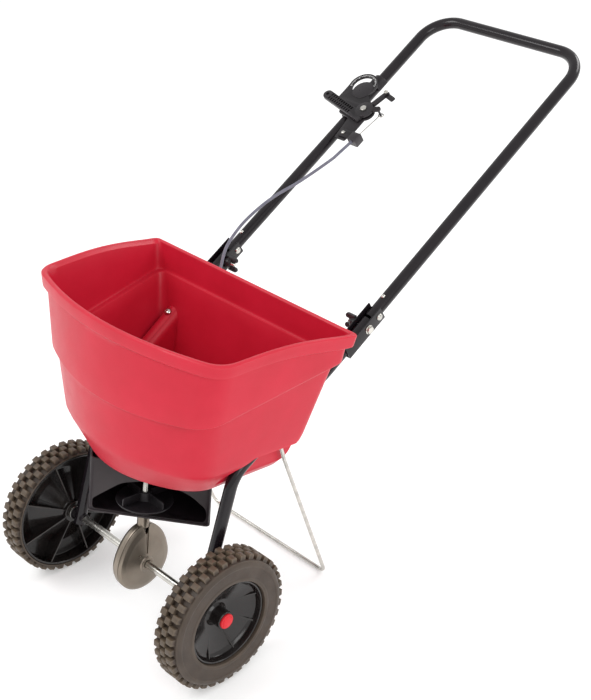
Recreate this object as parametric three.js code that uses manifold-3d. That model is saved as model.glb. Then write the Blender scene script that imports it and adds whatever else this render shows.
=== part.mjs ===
// Walk-behind broadcast garden spreader, millimetres, +Z up.
// X runs along the axle, +Y points back towards the operator, Z = 0 is the ground.
// The origin is on the ground under the middle of the whole spreader.
// The spreader rests on its two wheels and on the bar of its wire stand.
import * as THREE from 'three';
import { mergeVertices } from 'three/addons/utils/BufferGeometryUtils.js';
import Module from 'manifold-3d';

const wasm = await Module();
wasm.setup();

// ---------- driving dimensions ----------
const WHEEL_R = 114.3;        // nine-inch wheels
const PARK_TILT = 8.35;       // degrees the machine leans back on its stand
const MID_Y = 388.5;          // from the axle back to the middle of the spreader
const GAP = 0.3;              // clearance between touching pieces

const AXLE_R = 6.35;
const AXLE_HALF = 211;
const LEG_X = 154.9;          // lower end of a frame tube
const BEARING_R = 8;
const PIN_X = 176;            // drive pin through the right hub

const TUBE_R = 10;
const TUBE_WALL = 1.4;
const TUBE_X = 165;           // frame and handle tubes, from the middle plane
const RUN_ANGLE = 38.05;      // slope of the handle run, measured in the machine
const RUN_Y = 167.8;          // a point on the handle run
const RUN_Z = 313.9;
const FRAME_END = 163;        // end of the frame tube along the run
const HANDLE_START = 168;     // lower end of the handle tube along the run
const HANDLE_TOP = 771;       // crossbar centre along the run
const HANDLE_BEND = 55;
const KNOB_AT = 150;          // knob bolt along the run
const RIVET_AT = 177;         // joint rivet along the run
const HOPPER_BOLT_AT = 14;    // hopper bolt along the run
const STAND_AT = -71;         // stand socket along the run

const SHAFT_X = 6;
const SHAFT_R = 4.75;
const BOX_R = 51;             // gearbox drum
const LIP_Z = 86;             // bottom of the shroud
const SHROUD_TOP = 181.8;
const IMPELLER_Z = 112;
const HOPPER_Z = 188;         // hopper floor
const RIM_Z = 441;
const WALL = 3.6;

const CONTROL_PIVOT = [38, 514]; // inboard of the left tube and along the run
const WIRE_ARM = 26;          // wire pin from the lever's pivot
const LEVER_SWING = 50;       // degrees from shut to fully open
const WIRE_SLOPE = 7.8;       // degrees the wire drops below the run
const WIRE_TRAVEL = 22;

const STAND_R = 3.2;
const CABLE_R = 2.7;

const rad = THREE.MathUtils.degToRad;
const v2 = (x, y) => new THREE.Vector2(x, y);
const v3 = (x, y, z) => new THREE.Vector3(x, y, z);

// ---------- materials ----------
const look = (color, roughness, metalness) =>
  new THREE.MeshStandardMaterial({ color, roughness, metalness });
const RED = look(0xc8202c, 0.4, 0);
const BLACK_PAINT = look(0x101012, 0.25, 0.2);
const BLACK_PLASTIC = look(0x17171a, 0.45, 0);
const TYRE_BLACK = look(0x2a2623, 0.8, 0);
const ZINC = look(0xc4c6c4, 0.3, 1);
const GREY_CASE = look(0x8f8a84, 0.45, 0.3);
const GREY_CABLE = look(0x6f6c70, 0.5, 0);
const NYLON = look(0xd8d4c8, 0.5, 0);

// ---------- solid helpers ----------
function toSolid(geometry) {
  const bare = geometry.clone();
  bare.deleteAttribute('normal');
  bare.deleteAttribute('uv');
  const merged = mergeVertices(bare, 1e-4);
  return new wasm.Manifold(new wasm.Mesh({
    numProp: 3,
    vertProperties: new Float32Array(merged.attributes.position.array),
    triVerts: new Uint32Array(merged.index.array),
  }));
}

function toGeometry(solid) {
  const mesh = solid.getMesh();
  const geometry = new THREE.BufferGeometry();
  geometry.setAttribute('position', new THREE.BufferAttribute(new Float32Array(mesh.vertProperties), 3));
  geometry.setIndex(new THREE.BufferAttribute(new Uint32Array(mesh.triVerts), 1));
  geometry.computeVertexNormals();
  return geometry;
}

const cut = (base, ...tools) => toGeometry(tools.reduce((s, t) => s.subtract(toSolid(t)), toSolid(base)));
const join = (base, ...more) => toGeometry(more.reduce((s, m) => s.add(toSolid(m)), toSolid(base)));
const common = (a, b) => toGeometry(toSolid(a).intersect(toSolid(b)));

function box(x0, x1, y0, y1, z0, z1) {
  const geometry = new THREE.BoxGeometry(x1 - x0, y1 - y0, z1 - z0);
  return geometry.translate((x0 + x1) / 2, (y0 + y1) / 2, (z0 + z1) / 2);
}

// Solid of revolution about Z from [radius, height] pairs; open profiles are closed on the axis.
function turned(profile, segments = 32) {
  const points = profile.map(([r, z]) => v2(r, z));
  const geometry = new THREE.LatheGeometry(points, segments);
  geometry.rotateX(Math.PI / 2);
  const solid = toSolid(geometry);
  return solid.volume() < 0 ? flipped(geometry) : toGeometry(solid);
}

function flipped(geometry) {
  const index = mergeVertices(geometry, 1e-4).index ?? geometry.index;
  const copy = mergeVertices(geometry, 1e-4);
  const ids = Array.from(index.array);
  for (let i = 0; i < ids.length; i += 3) [ids[i], ids[i + 1]] = [ids[i + 1], ids[i]];
  copy.setIndex(ids);
  copy.computeVertexNormals();
  return copy;
}

function rod(radius, z0, z1, segments = 24) {
  return new THREE.CylinderGeometry(radius, radius, z1 - z0, segments)
    .rotateX(Math.PI / 2).translate(0, 0, (z0 + z1) / 2);
}

const alongX = (geometry) => geometry.clone().rotateY(Math.PI / 2);
const mirrored = (geometry) => flipped(geometry.clone().scale(-1, 1, 1));

function slab(points, z0, z1, holes = []) {
  const shape = new THREE.Shape(points.map(([x, y]) => v2(x, y)));
  holes.forEach(([x, y, r]) => shape.holes.push(new THREE.Path().absarc(x, y, r, 0, 2 * Math.PI, true)));
  return new THREE.ExtrudeGeometry(shape, { depth: z1 - z0, bevelEnabled: false, curveSegments: 8 })
    .translate(0, 0, z0);
}

function circlePoints(x, y, r, from = 0, to = 360, count = 24) {
  const points = [];
  for (let i = 0; i < count; i++) {
    const a = rad(from + (to - from) * i / (to - from === 360 ? count : count - 1));
    points.push([x + r * Math.cos(a), y + r * Math.sin(a)]);
  }
  return points;
}

// A wire of straight runs joined by round bends, with its stations only where it bends.
class BentWire extends THREE.Curve {
  constructor(points, bend, perBend = 5) {
    super();
    this.stations = [];
    const last = points.length - 1;
    for (let i = 0; i <= last; i++) {
      if (i === 0 || i === last) {
        const dir = i === 0 ? points[1].clone().sub(points[0]) : points[last].clone().sub(points[last - 1]);
        this.stations.push({ at: points[i], dir: dir.normalize() });
        continue;
      }
      this.addBend(points[i - 1], points[i], points[i + 1], bend, perBend);
    }
  }

  addBend(before, corner, after, bend, perBend) {
    const into = corner.clone().sub(before).normalize();
    const out = after.clone().sub(corner).normalize();
    const angle = into.angleTo(out);
    const start = corner.clone().addScaledVector(into, -bend * Math.tan(angle / 2));
    const axis = into.clone().cross(out).normalize();
    const centre = start.clone().addScaledVector(axis.clone().cross(into), bend);
    for (let k = 0; k <= perBend; k++) {
      const turn = angle * k / perBend;
      const at = start.clone().sub(centre).applyAxisAngle(axis, turn).add(centre);
      this.stations.push({ at, dir: into.clone().applyAxisAngle(axis, turn) });
    }
  }

  station(u) { return this.stations[Math.round(u * (this.stations.length - 1))]; }
  getPointAt(u) { return this.station(u).at.clone(); }
  getTangentAt(u) { return this.station(u).dir.clone(); }
}

function sweep(curve, radius, sides, steps, bore = 0) {
  const section = new THREE.Shape(circlePoints(0, 0, radius, 0, 360, sides).map(([x, y]) => v2(x, y)));
  if (bore > 0) section.holes.push(new THREE.Path(circlePoints(0, 0, bore, 0, 360, sides).map(([x, y]) => v2(x, y))));
  return new THREE.ExtrudeGeometry(section, { steps, bevelEnabled: false, extrudePath: curve });
}

function bentTube(points, bend, radius, sides = 12, bore = 0, perBend = 5) {
  const wire = new BentWire(points, bend, perBend);
  return sweep(wire, radius, sides, wire.stations.length - 1, bore);
}

// ---------- frames of reference ----------
// `machine` is the upright machine with the axle as its origin, leaning back on the stand.
// `run` lies along one handle tube: X outwards, Y up the tube, Z square to it.
const spreader = new THREE.Group();
const machine = new THREE.Group();
machine.position.set(0, -MID_Y, WHEEL_R);
machine.rotation.x = rad(-PARK_TILT);
spreader.add(machine);

function runGroup(x) {
  const group = new THREE.Group();
  group.position.set(x, RUN_Y, RUN_Z);
  group.rotation.x = rad(RUN_ANGLE);
  machine.add(group);
  return group;
}
const leftRun = runGroup(-TUBE_X);
const rightRun = runGroup(TUBE_X);
const middleRun = runGroup(0);

function place(parent, name, geometry, material) {
  const mesh = new THREE.Mesh(geometry, material);
  mesh.name = name;
  parent.add(mesh);
  return mesh;
}

function onRun(s, n = 0) {
  const a = rad(RUN_ANGLE);
  return [RUN_Y + s * Math.cos(a) - n * Math.sin(a), RUN_Z + s * Math.sin(a) + n * Math.cos(a)];
}

// The frame tube leans inwards below LEAN_FROM, measured along the run.
const LEAN_FROM = 60;
const BEND_AT = -160;
const BEND_X = 157.2;
const LEAN = Math.atan2(TUBE_X - BEND_X, LEAN_FROM - BEND_AT);
const tubeX = (along) => TUBE_X - Math.max(0, LEAN_FROM - along) * Math.tan(LEAN);
const framePath = () => [
  v3(LEG_X, -2.2, -12.5), v3(BEND_X, ...onRun(BEND_AT)), v3(TUBE_X, ...onRun(LEAN_FROM)),
  v3(TUBE_X, ...onRun(FRAME_END)),
];

// ---------- hopper ----------
// Plan outline at one height: bowed front, straight back, rounded corners.
function hopperOutline({ front, corner, back, half, halfBack, soft, softBack }, inset = 0) {
  const w = half - inset;
  const wb = halfBack - inset;
  const yb = back - inset;
  const yc = corner + inset;
  const yf = front + inset;
  const points = [];
  const bezier = (p, c, q, n) => {
    for (let i = 0; i < n; i++) {
      const t = i / n;
      points.push([0, 1].map((k) => (1 - t) ** 2 * p[k] + 2 * t * (1 - t) * c[k] + t * t * q[k]));
    }
  };
  const bow = (t) => [t * w, yf + (yc - yf) * t * t];
  const side = (k, s) => [s * (w + (wb - w) * k), yc + (yb - yc) * k];
  const reach = soft / w;
  const sideReach = soft / (yb - yc);
  const backReach = softBack / (yb - yc);
  for (let i = 0; i < 8; i++) points.push(bow((-1 + reach) + (2 - 2 * reach) * i / 8));
  bezier(bow(1 - reach), bow(1), side(sideReach, 1), 5);
  bezier(side(sideReach, 1), side(0.5, 1), side(1 - backReach, 1), 2);
  bezier(side(1 - backReach, 1), [wb, yb], [wb - softBack, yb], 4);
  bezier([wb - softBack, yb], [0, yb], [-wb + softBack, yb], 2);
  bezier([-wb + softBack, yb], [-wb, yb], side(1 - backReach, -1), 4);
  bezier(side(1 - backReach, -1), side(0.5, -1), side(sideReach, -1), 2);
  bezier(side(sideReach, -1), bow(-1), bow(-1 + reach), 5);
  return points;
}

// Closed solid through outlines stacked in Z.
function loft(sections) {
  const n = sections[0].points.length;
  const positions = [];
  sections.forEach(({ points, z }) => points.forEach(([x, y]) => positions.push(x, y, z)));
  const index = [];
  for (let s = 0; s < sections.length - 1; s++) {
    for (let i = 0; i < n; i++) {
      const a = s * n + i;
      const b = s * n + (i + 1) % n;
      index.push(a, b, b + n, a, b + n, a + n);
    }
  }
  const cap = THREE.ShapeUtils.triangulateShape(sections[0].points.map(([x, y]) => v2(x, y)), []);
  const top = (sections.length - 1) * n;
  cap.forEach(([a, b, c]) => index.push(a, c, b));
  const lid = THREE.ShapeUtils.triangulateShape(sections[sections.length - 1].points.map(([x, y]) => v2(x, y)), []);
  lid.forEach(([a, b, c]) => index.push(top + a, top + b, top + c));
  const geometry = new THREE.BufferGeometry();
  geometry.setAttribute('position', new THREE.Float32BufferAttribute(positions, 3));
  geometry.setIndex(index);
  return toSolid(geometry).volume() < 0 ? flipped(geometry) : geometry;
}

const HOPPER_LOW = [
  { z: HOPPER_Z, front: -68, corner: -8, back: 162, half: 137, halfBack: 135, soft: 30, softBack: 24 },
  { z: 232, front: -87, corner: -38, back: 172, half: 166, halfBack: 171, soft: 34, softBack: 22 },
  { z: 318, front: -96, corner: -46, back: 182, half: 182, halfBack: 190, soft: 32, softBack: 16 },
  { z: 392, front: -97, corner: -49, back: 188, half: 191, halfBack: 207, soft: 28, softBack: 14 },
];
const HOPPER_HIGH = [
  { z: 290, front: -99, corner: -50, back: 192, half: 185, halfBack: 203, soft: 32, softBack: 16 },
  { z: 416, front: -99, corner: -54, back: 192, half: 205, halfBack: 222, soft: 28, softBack: 14 },
  { z: RIM_Z - 2, front: -99, corner: -55, back: 193, half: 210, halfBack: 227, soft: 26, softBack: 12 },
];
const COLLAR = [
  { z: 420, front: -102, corner: -58, back: 196, half: 213, halfBack: 232, soft: 28, softBack: 12 },
  { z: RIM_Z, front: -103, corner: -59, back: 197, half: 217, halfBack: 235.5, soft: 26, softBack: 10 },
];
const LEDGE_SLOPE = 14.3;     // degrees the step rises towards the back
const LEDGE_Z = 342;          // height of the step at the axle

const stack = (rows, inset = 0, rise = 0) =>
  loft(rows.map((row) => ({ z: row.z + rise, points: hopperOutline(row, inset) })));

// Space kept free for a frame tube: a round-topped trench that opens downwards. The lower
// stretch leans inwards with the tube, and the upper stretch follows the run.
function trench(side, radius, inboard, outboard) {
  const depth = 90;
  const crown = (outboard - inboard) / 2;
  const reach = (outboard + inboard) / 2;
  const profile = [[-inboard, -depth], [outboard, -depth], [outboard, 0]];
  for (let i = 1; i < 6; i++) {
    const a = Math.PI * i / 6;
    profile.push([crown + reach * Math.cos(a), radius * Math.sin(a)]);
  }
  profile.push([-inboard, 0]);
  const section = profile.map(([x, z]) => [side * x, z]);
  const stretch = (from, to) => slab(section, -to, -from).rotateX(Math.PI / 2);
  const leaning = stretch(-260, 5).rotateZ(-side * LEAN).translate(0, LEAN_FROM, 0);
  const straight = stretch(-5, 130).translate(0, LEAN_FROM, 0);
  const both = join(leaning, straight);
  return both.rotateX(rad(RUN_ANGLE)).translate(side * TUBE_X, RUN_Y, RUN_Z);
}

const OUTLETS = [[SHAFT_X - 34, 22], [SHAFT_X, 40], [SHAFT_X + 34, 22]];
const TRENCH = TUBE_R + 1.8;

// Everything below a frame tube and outboard of it, seen from inside the hopper.
function innerTunnel(side) {
  const r = TRENCH + WALL + 0.9;
  return [trench(side, r, r, r), trench(side, r, r, 170), legSpace(side, r)];
}

// Space round the leg of a frame tube, where it passes the corner of the hopper floor.
function legSpace(side, radius) {
  const space = bentTube(framePath(), 60, radius, 16);
  return side > 0 ? space : mirrored(space);
}

// A swelling of the flank that hides the frame tube down to the hopper floor.
function legCover(side) {
  return common(legSpace(side, TRENCH + WALL), box(-400, 400, -400, 400, HOPPER_Z, 300));
}

function makeHopper() {
  const step = (z) => box(-400, 400, -400, 400, 0, 400).rotateX(rad(LEDGE_SLOPE)).translate(0, 0, z);
  const outer = join(common(stack(HOPPER_HIGH), step(LEDGE_Z)), stack(HOPPER_LOW), stack(COLLAR),
    legCover(-1), legCover(1));
  const lowIn = HOPPER_LOW.map((row, i) => (i === 0 ? { ...row, z: row.z + WALL } : row));
  const highIn = HOPPER_HIGH.map((row, i) => (i === 2 ? { ...row, z: RIM_Z + 5 } : row));
  let inner = join(stack(lowIn, WALL), common(stack(highIn, WALL), step(LEDGE_Z + 4)));
  inner = cut(inner, ...innerTunnel(-1), ...innerTunnel(1));
  const trenches = [-1, 1].flatMap((s) => [trench(s, TRENCH, TRENCH, TRENCH), legSpace(s, TRENCH)]);
  const floorHole = (x, y, r) => rod(r, HOPPER_Z - 5, HOPPER_Z + 12, 20).translate(x, y, 0);
  const outlets = OUTLETS.map(([x, y]) => floorHole(x, y, 9));
  const boltHoles = [-1, 1].map((s) => acrossRun(rod(3.4, -5, 30, 12), s * tubeX(HOPPER_BOLT_AT), HOPPER_BOLT_AT));
  return cut(outer, inner, ...trenches, floorHole(SHAFT_X, 0, 8.5), ...outlets, ...boltHoles);
}

// Stands a piece made along Z square to the run, at a point of the run.
function acrossRun(geometry, x, along) {
  const [y, z] = onRun(along);
  return geometry.rotateX(rad(RUN_ANGLE)).translate(x, y, z);
}

place(machine, 'hopper', makeHopper(), RED);

// ---------- base plate and gate, under the hopper floor ----------
const GATE_CLOSED = [8, 84];  // front and back edges of the shut gate
const TAIL_END = 140;
const LUG_Y = 206;            // where the cable housing ends
const WIRE_Z = 185.9;

function makeBasePlate() {
  const plate = slab(hopperOutline(HOPPER_LOW[0], 10), SHROUD_TOP + GAP, HOPPER_Z - GAP);
  const tongue = box(SHAFT_X - 10, SHAFT_X + 10, 140, LUG_Y + 6, 177, SHROUD_TOP + 1.2);
  const lug = box(SHAFT_X - 10, SHAFT_X + 10, LUG_Y - 4, LUG_Y + 6, 177, 193);
  const pocket = box(SHAFT_X - 52.4, SHAFT_X + 52.4, GATE_CLOSED[0] - 22.5, GATE_CLOSED[1] + 0.5, 185, 195);
  const channel = box(SHAFT_X - 4.5, SHAFT_X + 4.5, 80, 180, 183.5, 195);
  const wireBore = rod(3, LUG_Y - 10, LUG_Y + 20, 16).rotateX(-Math.PI / 2).translate(SHAFT_X, 0, WIRE_Z);
  const outlets = OUTLETS.map(([x, y]) => rod(10, 170, 190, 20).translate(x, y, 0));
  const shaft = rod(8.5, 170, 200, 20).translate(SHAFT_X, 0, 0);
  return cut(join(plate, tongue, lug), pocket, channel, wireBore, shaft, ...outlets);
}

function makeGate() {
  const plate = box(SHAFT_X - 52, SHAFT_X + 52, GATE_CLOSED[0], GATE_CLOSED[1], 185.4, 187.2);
  const tail = box(SHAFT_X - 4, SHAFT_X + 4, GATE_CLOSED[1] - 1, TAIL_END, 185.4, 187.2);
  const lug = box(SHAFT_X - 3, SHAFT_X + 3, TAIL_END - 8, TAIL_END, 184.2, 187.2);
  const slot = box(SHAFT_X - 6, SHAFT_X + 6, 0, 22, 180, 190);
  const slotEnd = rod(6, 180, 190, 16).translate(SHAFT_X, 22, 0);
  const ports = OUTLETS.map(([x, y]) => rod(9, 180, 190, 20).translate(x, y + WIRE_TRAVEL, 0));
  const socket = rod(1.3, TAIL_END - 5, TAIL_END + 5, 10).rotateX(-Math.PI / 2).translate(SHAFT_X, 0, WIRE_Z);
  return cut(join(plate, tail, lug), slot, slotEnd, socket, ...ports);
}

place(machine, 'base_plate', makeBasePlate(), BLACK_PLASTIC);
place(machine, 'shutoff_gate', makeGate(), ZINC);
place(machine, 'gate_wire', rod(0.9, TAIL_END - 4.5, 249, 8).rotateX(-Math.PI / 2)
  .translate(SHAFT_X, 0, WIRE_Z), ZINC);

// ---------- shroud ----------
const SHROUD_LEFT = [-52, -66.5];
const SHROUD_RIGHT = [95.5, 59];
const SHROUD_PLAN = [SHROUD_LEFT, SHROUD_RIGHT, [28, 122], [-92, 122], [-92, -34]];
const SHROUD_WALL = 3;

function insetPlan(plan, by) {
  const n = plan.length;
  return plan.map((p, i) => {
    const a = plan[(i + n - 1) % n];
    const c = plan[(i + 1) % n];
    const d1 = v2(p[0] - a[0], p[1] - a[1]).normalize();
    const d2 = v2(c[0] - p[0], c[1] - p[1]).normalize();
    const n1 = v2(-d1.y, d1.x);
    const n2 = v2(-d2.y, d2.x);
    const k = by / (1 + n1.dot(n2));
    return [p[0] + (n1.x + n2.x) * k, p[1] + (n1.y + n2.y) * k];
  });
}

// Arched opening of the slanting front wall: distance along the wall, height over the lip.
const WINDOW = [[6, 5], [188, 5], [188, 30], [163, 50], [145, 58], [110, 66], [85, 66], [51, 58], [35, 46], [13, 29], [6, 23]];

function makeShroud() {
  const shell = slab(SHROUD_PLAN, LIP_Z, SHROUD_TOP);
  const hollow = slab(insetPlan(SHROUD_PLAN, SHROUD_WALL), LIP_Z + SHROUD_WALL, SHROUD_TOP + 5);
  const along = Math.atan2(SHROUD_RIGHT[1] - SHROUD_LEFT[1], SHROUD_RIGHT[0] - SHROUD_LEFT[0]);
  const window = slab(WINDOW, -12, 12).rotateX(Math.PI / 2).rotateZ(along)
    .translate(SHROUD_LEFT[0], SHROUD_LEFT[1], LIP_Z);
  const shaft = rod(8.3, LIP_Z - 5, LIP_Z + 10, 20).translate(SHAFT_X, 0, 0);
  return cut(shell, hollow, window, shaft);
}
place(machine, 'shroud', makeShroud(), BLACK_PLASTIC);

// ---------- upright shaft, impeller and agitator ----------
const onShaft = (geometry) => geometry.translate(SHAFT_X, 0, 0);
const flanged = (z0, z1, flange) => turned([
  [SHAFT_R + GAP, z0], [8, z0], [8, z1], [flange, z1], [flange, z1 + 2], [SHAFT_R + GAP, z1 + 2],
  [SHAFT_R + GAP, z0],
], 16);

function makeImpeller() {
  const hub = rod(10, IMPELLER_Z - 6, IMPELLER_Z + 16, 24);
  const disc = rod(46, IMPELLER_Z, IMPELLER_Z + 2.4, 48);
  const blades = [0, 1, 2, 3].map((i) => box(8, 45, -1.2, 1.2, IMPELLER_Z + 2, IMPELLER_Z + 16).rotateZ(i * Math.PI / 2));
  const bore = rod(SHAFT_R + GAP, IMPELLER_Z - 10, IMPELLER_Z + 20);
  return cut(join(disc, hub, ...blades), bore);
}

const AGITATOR_Z = 206;
place(machine, 'impeller_shaft', onShaft(cut(rod(SHAFT_R, 16, 222),
  alongX(rod(2.3, -10, 10, 10)).translate(0, 0, AGITATOR_Z))), ZINC);
place(machine, 'impeller', onShaft(makeImpeller()), BLACK_PLASTIC);
place(machine, 'agitator', onShaft(alongX(rod(2, -30, 30, 10)).translate(0, 0, AGITATOR_Z)), ZINC);
place(machine, 'shaft_bushing', onShaft(flanged(HOPPER_Z + 0.2, HOPPER_Z + WALL + GAP, 12)), NYLON);
place(machine, 'shroud_bushing', onShaft(flanged(LIP_Z + 0.2, LIP_Z + SHROUD_WALL + GAP, 9.4)), NYLON);

// ---------- gearbox ----------
const SEAM_X = 11.2;
const SHELL = 2.4;
function ring(profile) { return alongX(turned([...profile, profile[0]], 32)); }

// The upper half of the case is drawn out towards the impeller.
const CASE_RISE = 18;
function drawnUp(geometry) {
  const from = 13;
  const points = geometry.attributes.position;
  for (let i = 0; i < points.count; i++) {
    const k = Math.max(0, points.getZ(i) - from) / (BOX_R - from);
    points.setZ(i, points.getZ(i) + CASE_RISE * k ** 1.4);
  }
  return geometry;
}

function makeLeftShell() {
  const drum = ring([
    [AXLE_R + GAP, -9.5], [12, -9.5], [12, -8.6], [40, -8.6], [48, -5], [BOX_R, 1], [BOX_R, SEAM_X],
    [BOX_R - SHELL, SEAM_X], [BOX_R - SHELL, 1], [46, -3.6], [40, -6.2], [AXLE_R + GAP, -6.2],
  ]);
  const neck = onShaft(rod(10, 46, LIP_Z - GAP, 24));
  const bore = onShaft(rod(SHAFT_R + GAP, 20, 90, 24));
  const clear = ring([[0, -6.2], [40, -6.2], [46, -3.6], [BOX_R - SHELL, 1], [BOX_R - SHELL, 30], [0, 30]]);
  return cut(join(drawnUp(drum), cut(neck, drawnUp(clear))), bore);
}

function makeRightShell() {
  const dome = ring([
    [AXLE_R + GAP, 17.6], [AXLE_R + GAP, 24], [12, 24], [13, 21.6], [40, 18], [48, 15.4], [BOX_R, SEAM_X + GAP],
    [BOX_R - SHELL, SEAM_X + GAP], [46, 13.4], [40, 15.6], [14, 19.2],
  ]);
  const notch = onShaft(rod(10 + GAP, 40, 90, 24));
  return cut(drawnUp(dome), notch);
}

const RING_TEETH = 24;
const PINION_TEETH = 6;
function makeRingGear() {
  const disc = ring([[AXLE_R + GAP, -5.8], [40, -5.8], [40, -3.2], [12, -3.2], [12, 1], [AXLE_R + GAP, 1]]);
  const teeth = [];
  for (let i = 0; i < RING_TEETH; i++) {
    teeth.push(box(-4, -1.7, -1.7, 1.7, 25, 39).rotateX(2 * Math.PI * i / RING_TEETH));
  }
  return join(disc, ...teeth);
}

function makePinion() {
  const points = [];
  for (let i = 0; i < PINION_TEETH; i++) {
    [[-0.3, 5.9], [-0.16, 7.2], [0.16, 7.2], [0.3, 5.9]].forEach(([k, r]) => {
      const a = 2 * Math.PI * (i + k) / PINION_TEETH;
      points.push([r * Math.cos(a), r * Math.sin(a)]);
    });
  }
  return slab(points, 26, 40, [[0, 0, SHAFT_R + GAP]]);
}

place(machine, 'gearbox_shell_left', makeLeftShell(), GREY_CASE);
place(machine, 'gearbox_shell_right', makeRightShell(), GREY_CASE);
place(machine, 'ring_gear', makeRingGear(), NYLON);
place(machine, 'pinion', onShaft(makePinion()), NYLON);

// ---------- axle and wheels ----------
const WHEEL_PROFILE = [
  [6.65, 172], [19, 172], [19, 180], [26, 184], [66, 212], [99.5, 203], [99.5, 178], [103.2, 178],
  [103.2, 206], [70.8, 216], [70.8, 219], [68, 219], [24, 191], [19, 200], [19, 213], [6.65, 213],
];
const TYRE_PROFILE = [
  [71.2, 216.6], [103.6, 206.6], [103.6, 176.6], [110, 176.6], [WHEEL_R, 180], [WHEEL_R, 217], [109, 223],
  [100, 223.9], [71.2, 223.9],
];
const CAP_PROFILE = [[0, 213 + GAP], [12.5, 213 + GAP], [12.5, 216], [10.5, 217.8], [0, 218]];
const lathe = (profile, segments) => alongX(turned([...profile, profile[0]], segments));

const pinHole = rod(1.9, -30, 30, 12).translate(PIN_X, 0, 0);
const axleRod = alongX(rod(AXLE_R, -AXLE_HALF, AXLE_HALF, 24));
place(machine, 'axle', cut(axleRod, pinHole), ZINC);
place(machine, 'drive_pin', rod(1.6, -18, 18, 10).translate(PIN_X, 0, 0), ZINC);
place(machine, 'wheel_right', cut(lathe(WHEEL_PROFILE, 36), pinHole), BLACK_PLASTIC);
place(machine, 'tyre_right', lathe(TYRE_PROFILE, 40), TYRE_BLACK);
place(machine, 'hub_cap_right', lathe(CAP_PROFILE, 24), RED);
place(machine, 'wheel_left', mirrored(lathe(WHEEL_PROFILE, 36)), BLACK_PLASTIC);
place(machine, 'tyre_left', mirrored(lathe(TYRE_PROFILE, 40)), TYRE_BLACK);
place(machine, 'hub_cap_left', mirrored(lathe(CAP_PROFILE, 24)), RED);

const WASHER = lathe([[AXLE_R + GAP, 168.6], [12, 168.6], [12, 170.6], [AXLE_R + GAP, 170.6]], 20);
const BEARING = lathe([
  [AXLE_R + GAP, 142], [BEARING_R, 142], [BEARING_R, 166], [12, 166], [12, 168.2], [AXLE_R + GAP, 168.2],
], 18);
place(machine, 'washer_right', WASHER, ZINC);
place(machine, 'washer_left', mirrored(WASHER), ZINC);
place(machine, 'axle_bearing_right', BEARING, NYLON);
place(machine, 'axle_bearing_left', mirrored(BEARING), NYLON);

// ---------- frame tubes, stand and handle ----------
function makeFrameTube() {
  const tube = bentTube(framePath(), 60, TUBE_R, 12, TUBE_R - TUBE_WALL, 4);
  const bearing = alongX(rod(BEARING_R + GAP, 100, 200, 24));
  const across = (r, along) => {
    const [y, z] = onRun(along);
    return alongX(rod(r, 100, 230, 12)).translate(0, y, z);
  };
  const bolt = acrossRun(rod(3.4, -30, 30, 12), tubeX(HOPPER_BOLT_AT), HOPPER_BOLT_AT);
  const socket = acrossRun(rod(STAND_R + 0.4, -30, 0, 12), tubeX(STAND_AT), STAND_AT);
  return cut(tube, bearing, across(3.4, KNOB_AT), bolt, socket);
}

function makeStand() {
  const side = (s) => {
    const inTube = onRun(STAND_AT, -4);
    const below = onRun(STAND_AT, -26);
    const x = tubeX(STAND_AT);
    return [v3(s * x, ...inTube), v3(s * x, ...below), v3(s * (x - 2), 148, 208), v3(s * 141, 301, -68)];
  };
  return bentTube([...side(-1), ...side(1).reverse()], 16, STAND_R, 8, 0, 4);
}

function makeHandle() {
  const x = TUBE_X;
  const path = [v3(-x, HANDLE_START, 0), v3(-x, HANDLE_TOP, 0), v3(x, HANDLE_TOP, 0), v3(x, HANDLE_START, 0)];
  const tube = bentTube(path, HANDLE_BEND, TUBE_R, 12, TUBE_R - TUBE_WALL, 7);
  const rivets = alongX(rod(3.3, -230, 230, 12)).translate(0, RIVET_AT, 0);
  return cut(tube, rivets);
}

const FRAME_TUBE = makeFrameTube();
place(machine, 'frame_tube_right', FRAME_TUBE, BLACK_PAINT);
place(machine, 'frame_tube_left', mirrored(FRAME_TUBE), BLACK_PAINT);
place(machine, 'stand', makeStand(), ZINC);
place(middleRun, 'handle', makeHandle(), BLACK_PAINT);

// ---------- joints between frame and handle, modelled on the right side ----------
const CHANNEL = [97, 186];
function makeChannel() {
  const outer = box(-12.6, 12.6, CHANNEL[0], CHANNEL[1], -12.8, 13);
  const inner = box(-10.5, 10.5, CHANNEL[0] - 5, CHANNEL[1] + 5, -10.5, 40);
  const hole = (along, r) => alongX(rod(r, -20, 20, 12)).translate(0, along, 0);
  return cut(outer, inner, hole(KNOB_AT, 3.4), hole(RIVET_AT, 3.3));
}

const hexHead = (radius, z0, z1) => rod(radius, z0, z1, 6);
function makeKnobBolt() {
  return alongX(join(rod(3.1, -31, 14, 12), hexHead(6.6, 13, 17.5))).translate(0, KNOB_AT, 0);
}

function makeWingKnob() {
  const hub = rod(9.5, -24, -13.2, 20);
  const fingers = [-1, 1].map((s) => box(s * 8.5 - 4, s * 8.5 + 4, -3.2, 3.2, -37, -18));
  const bore = rod(3.4, -40, -10, 12);
  return alongX(cut(join(hub, ...fingers), bore)).translate(0, KNOB_AT, 0);
}

function makeRivet() {
  const half = [[0, 16], [3, 15.6], [5.6, 13.8], [5.6, 12.9], [2.9, 12.9]];
  const profile = [...half, ...half.map(([r, z]) => [r, -z]).reverse()];
  return alongX(turned(profile, 12)).translate(0, RIVET_AT, 0);
}

function makeHopperBolt() {
  const crown = TRENCH + WALL + 0.9;
  const shank = rod(3.1, -17, crown + 1, 12);
  const head = turned([[0, crown + GAP], [6.5, crown + GAP], [5.5, crown + 2.6], [3, crown + 4], [0, crown + 4.4]], 20);
  return join(shank, head, hexHead(5.6, -15, -TUBE_R - GAP));
}

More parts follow.
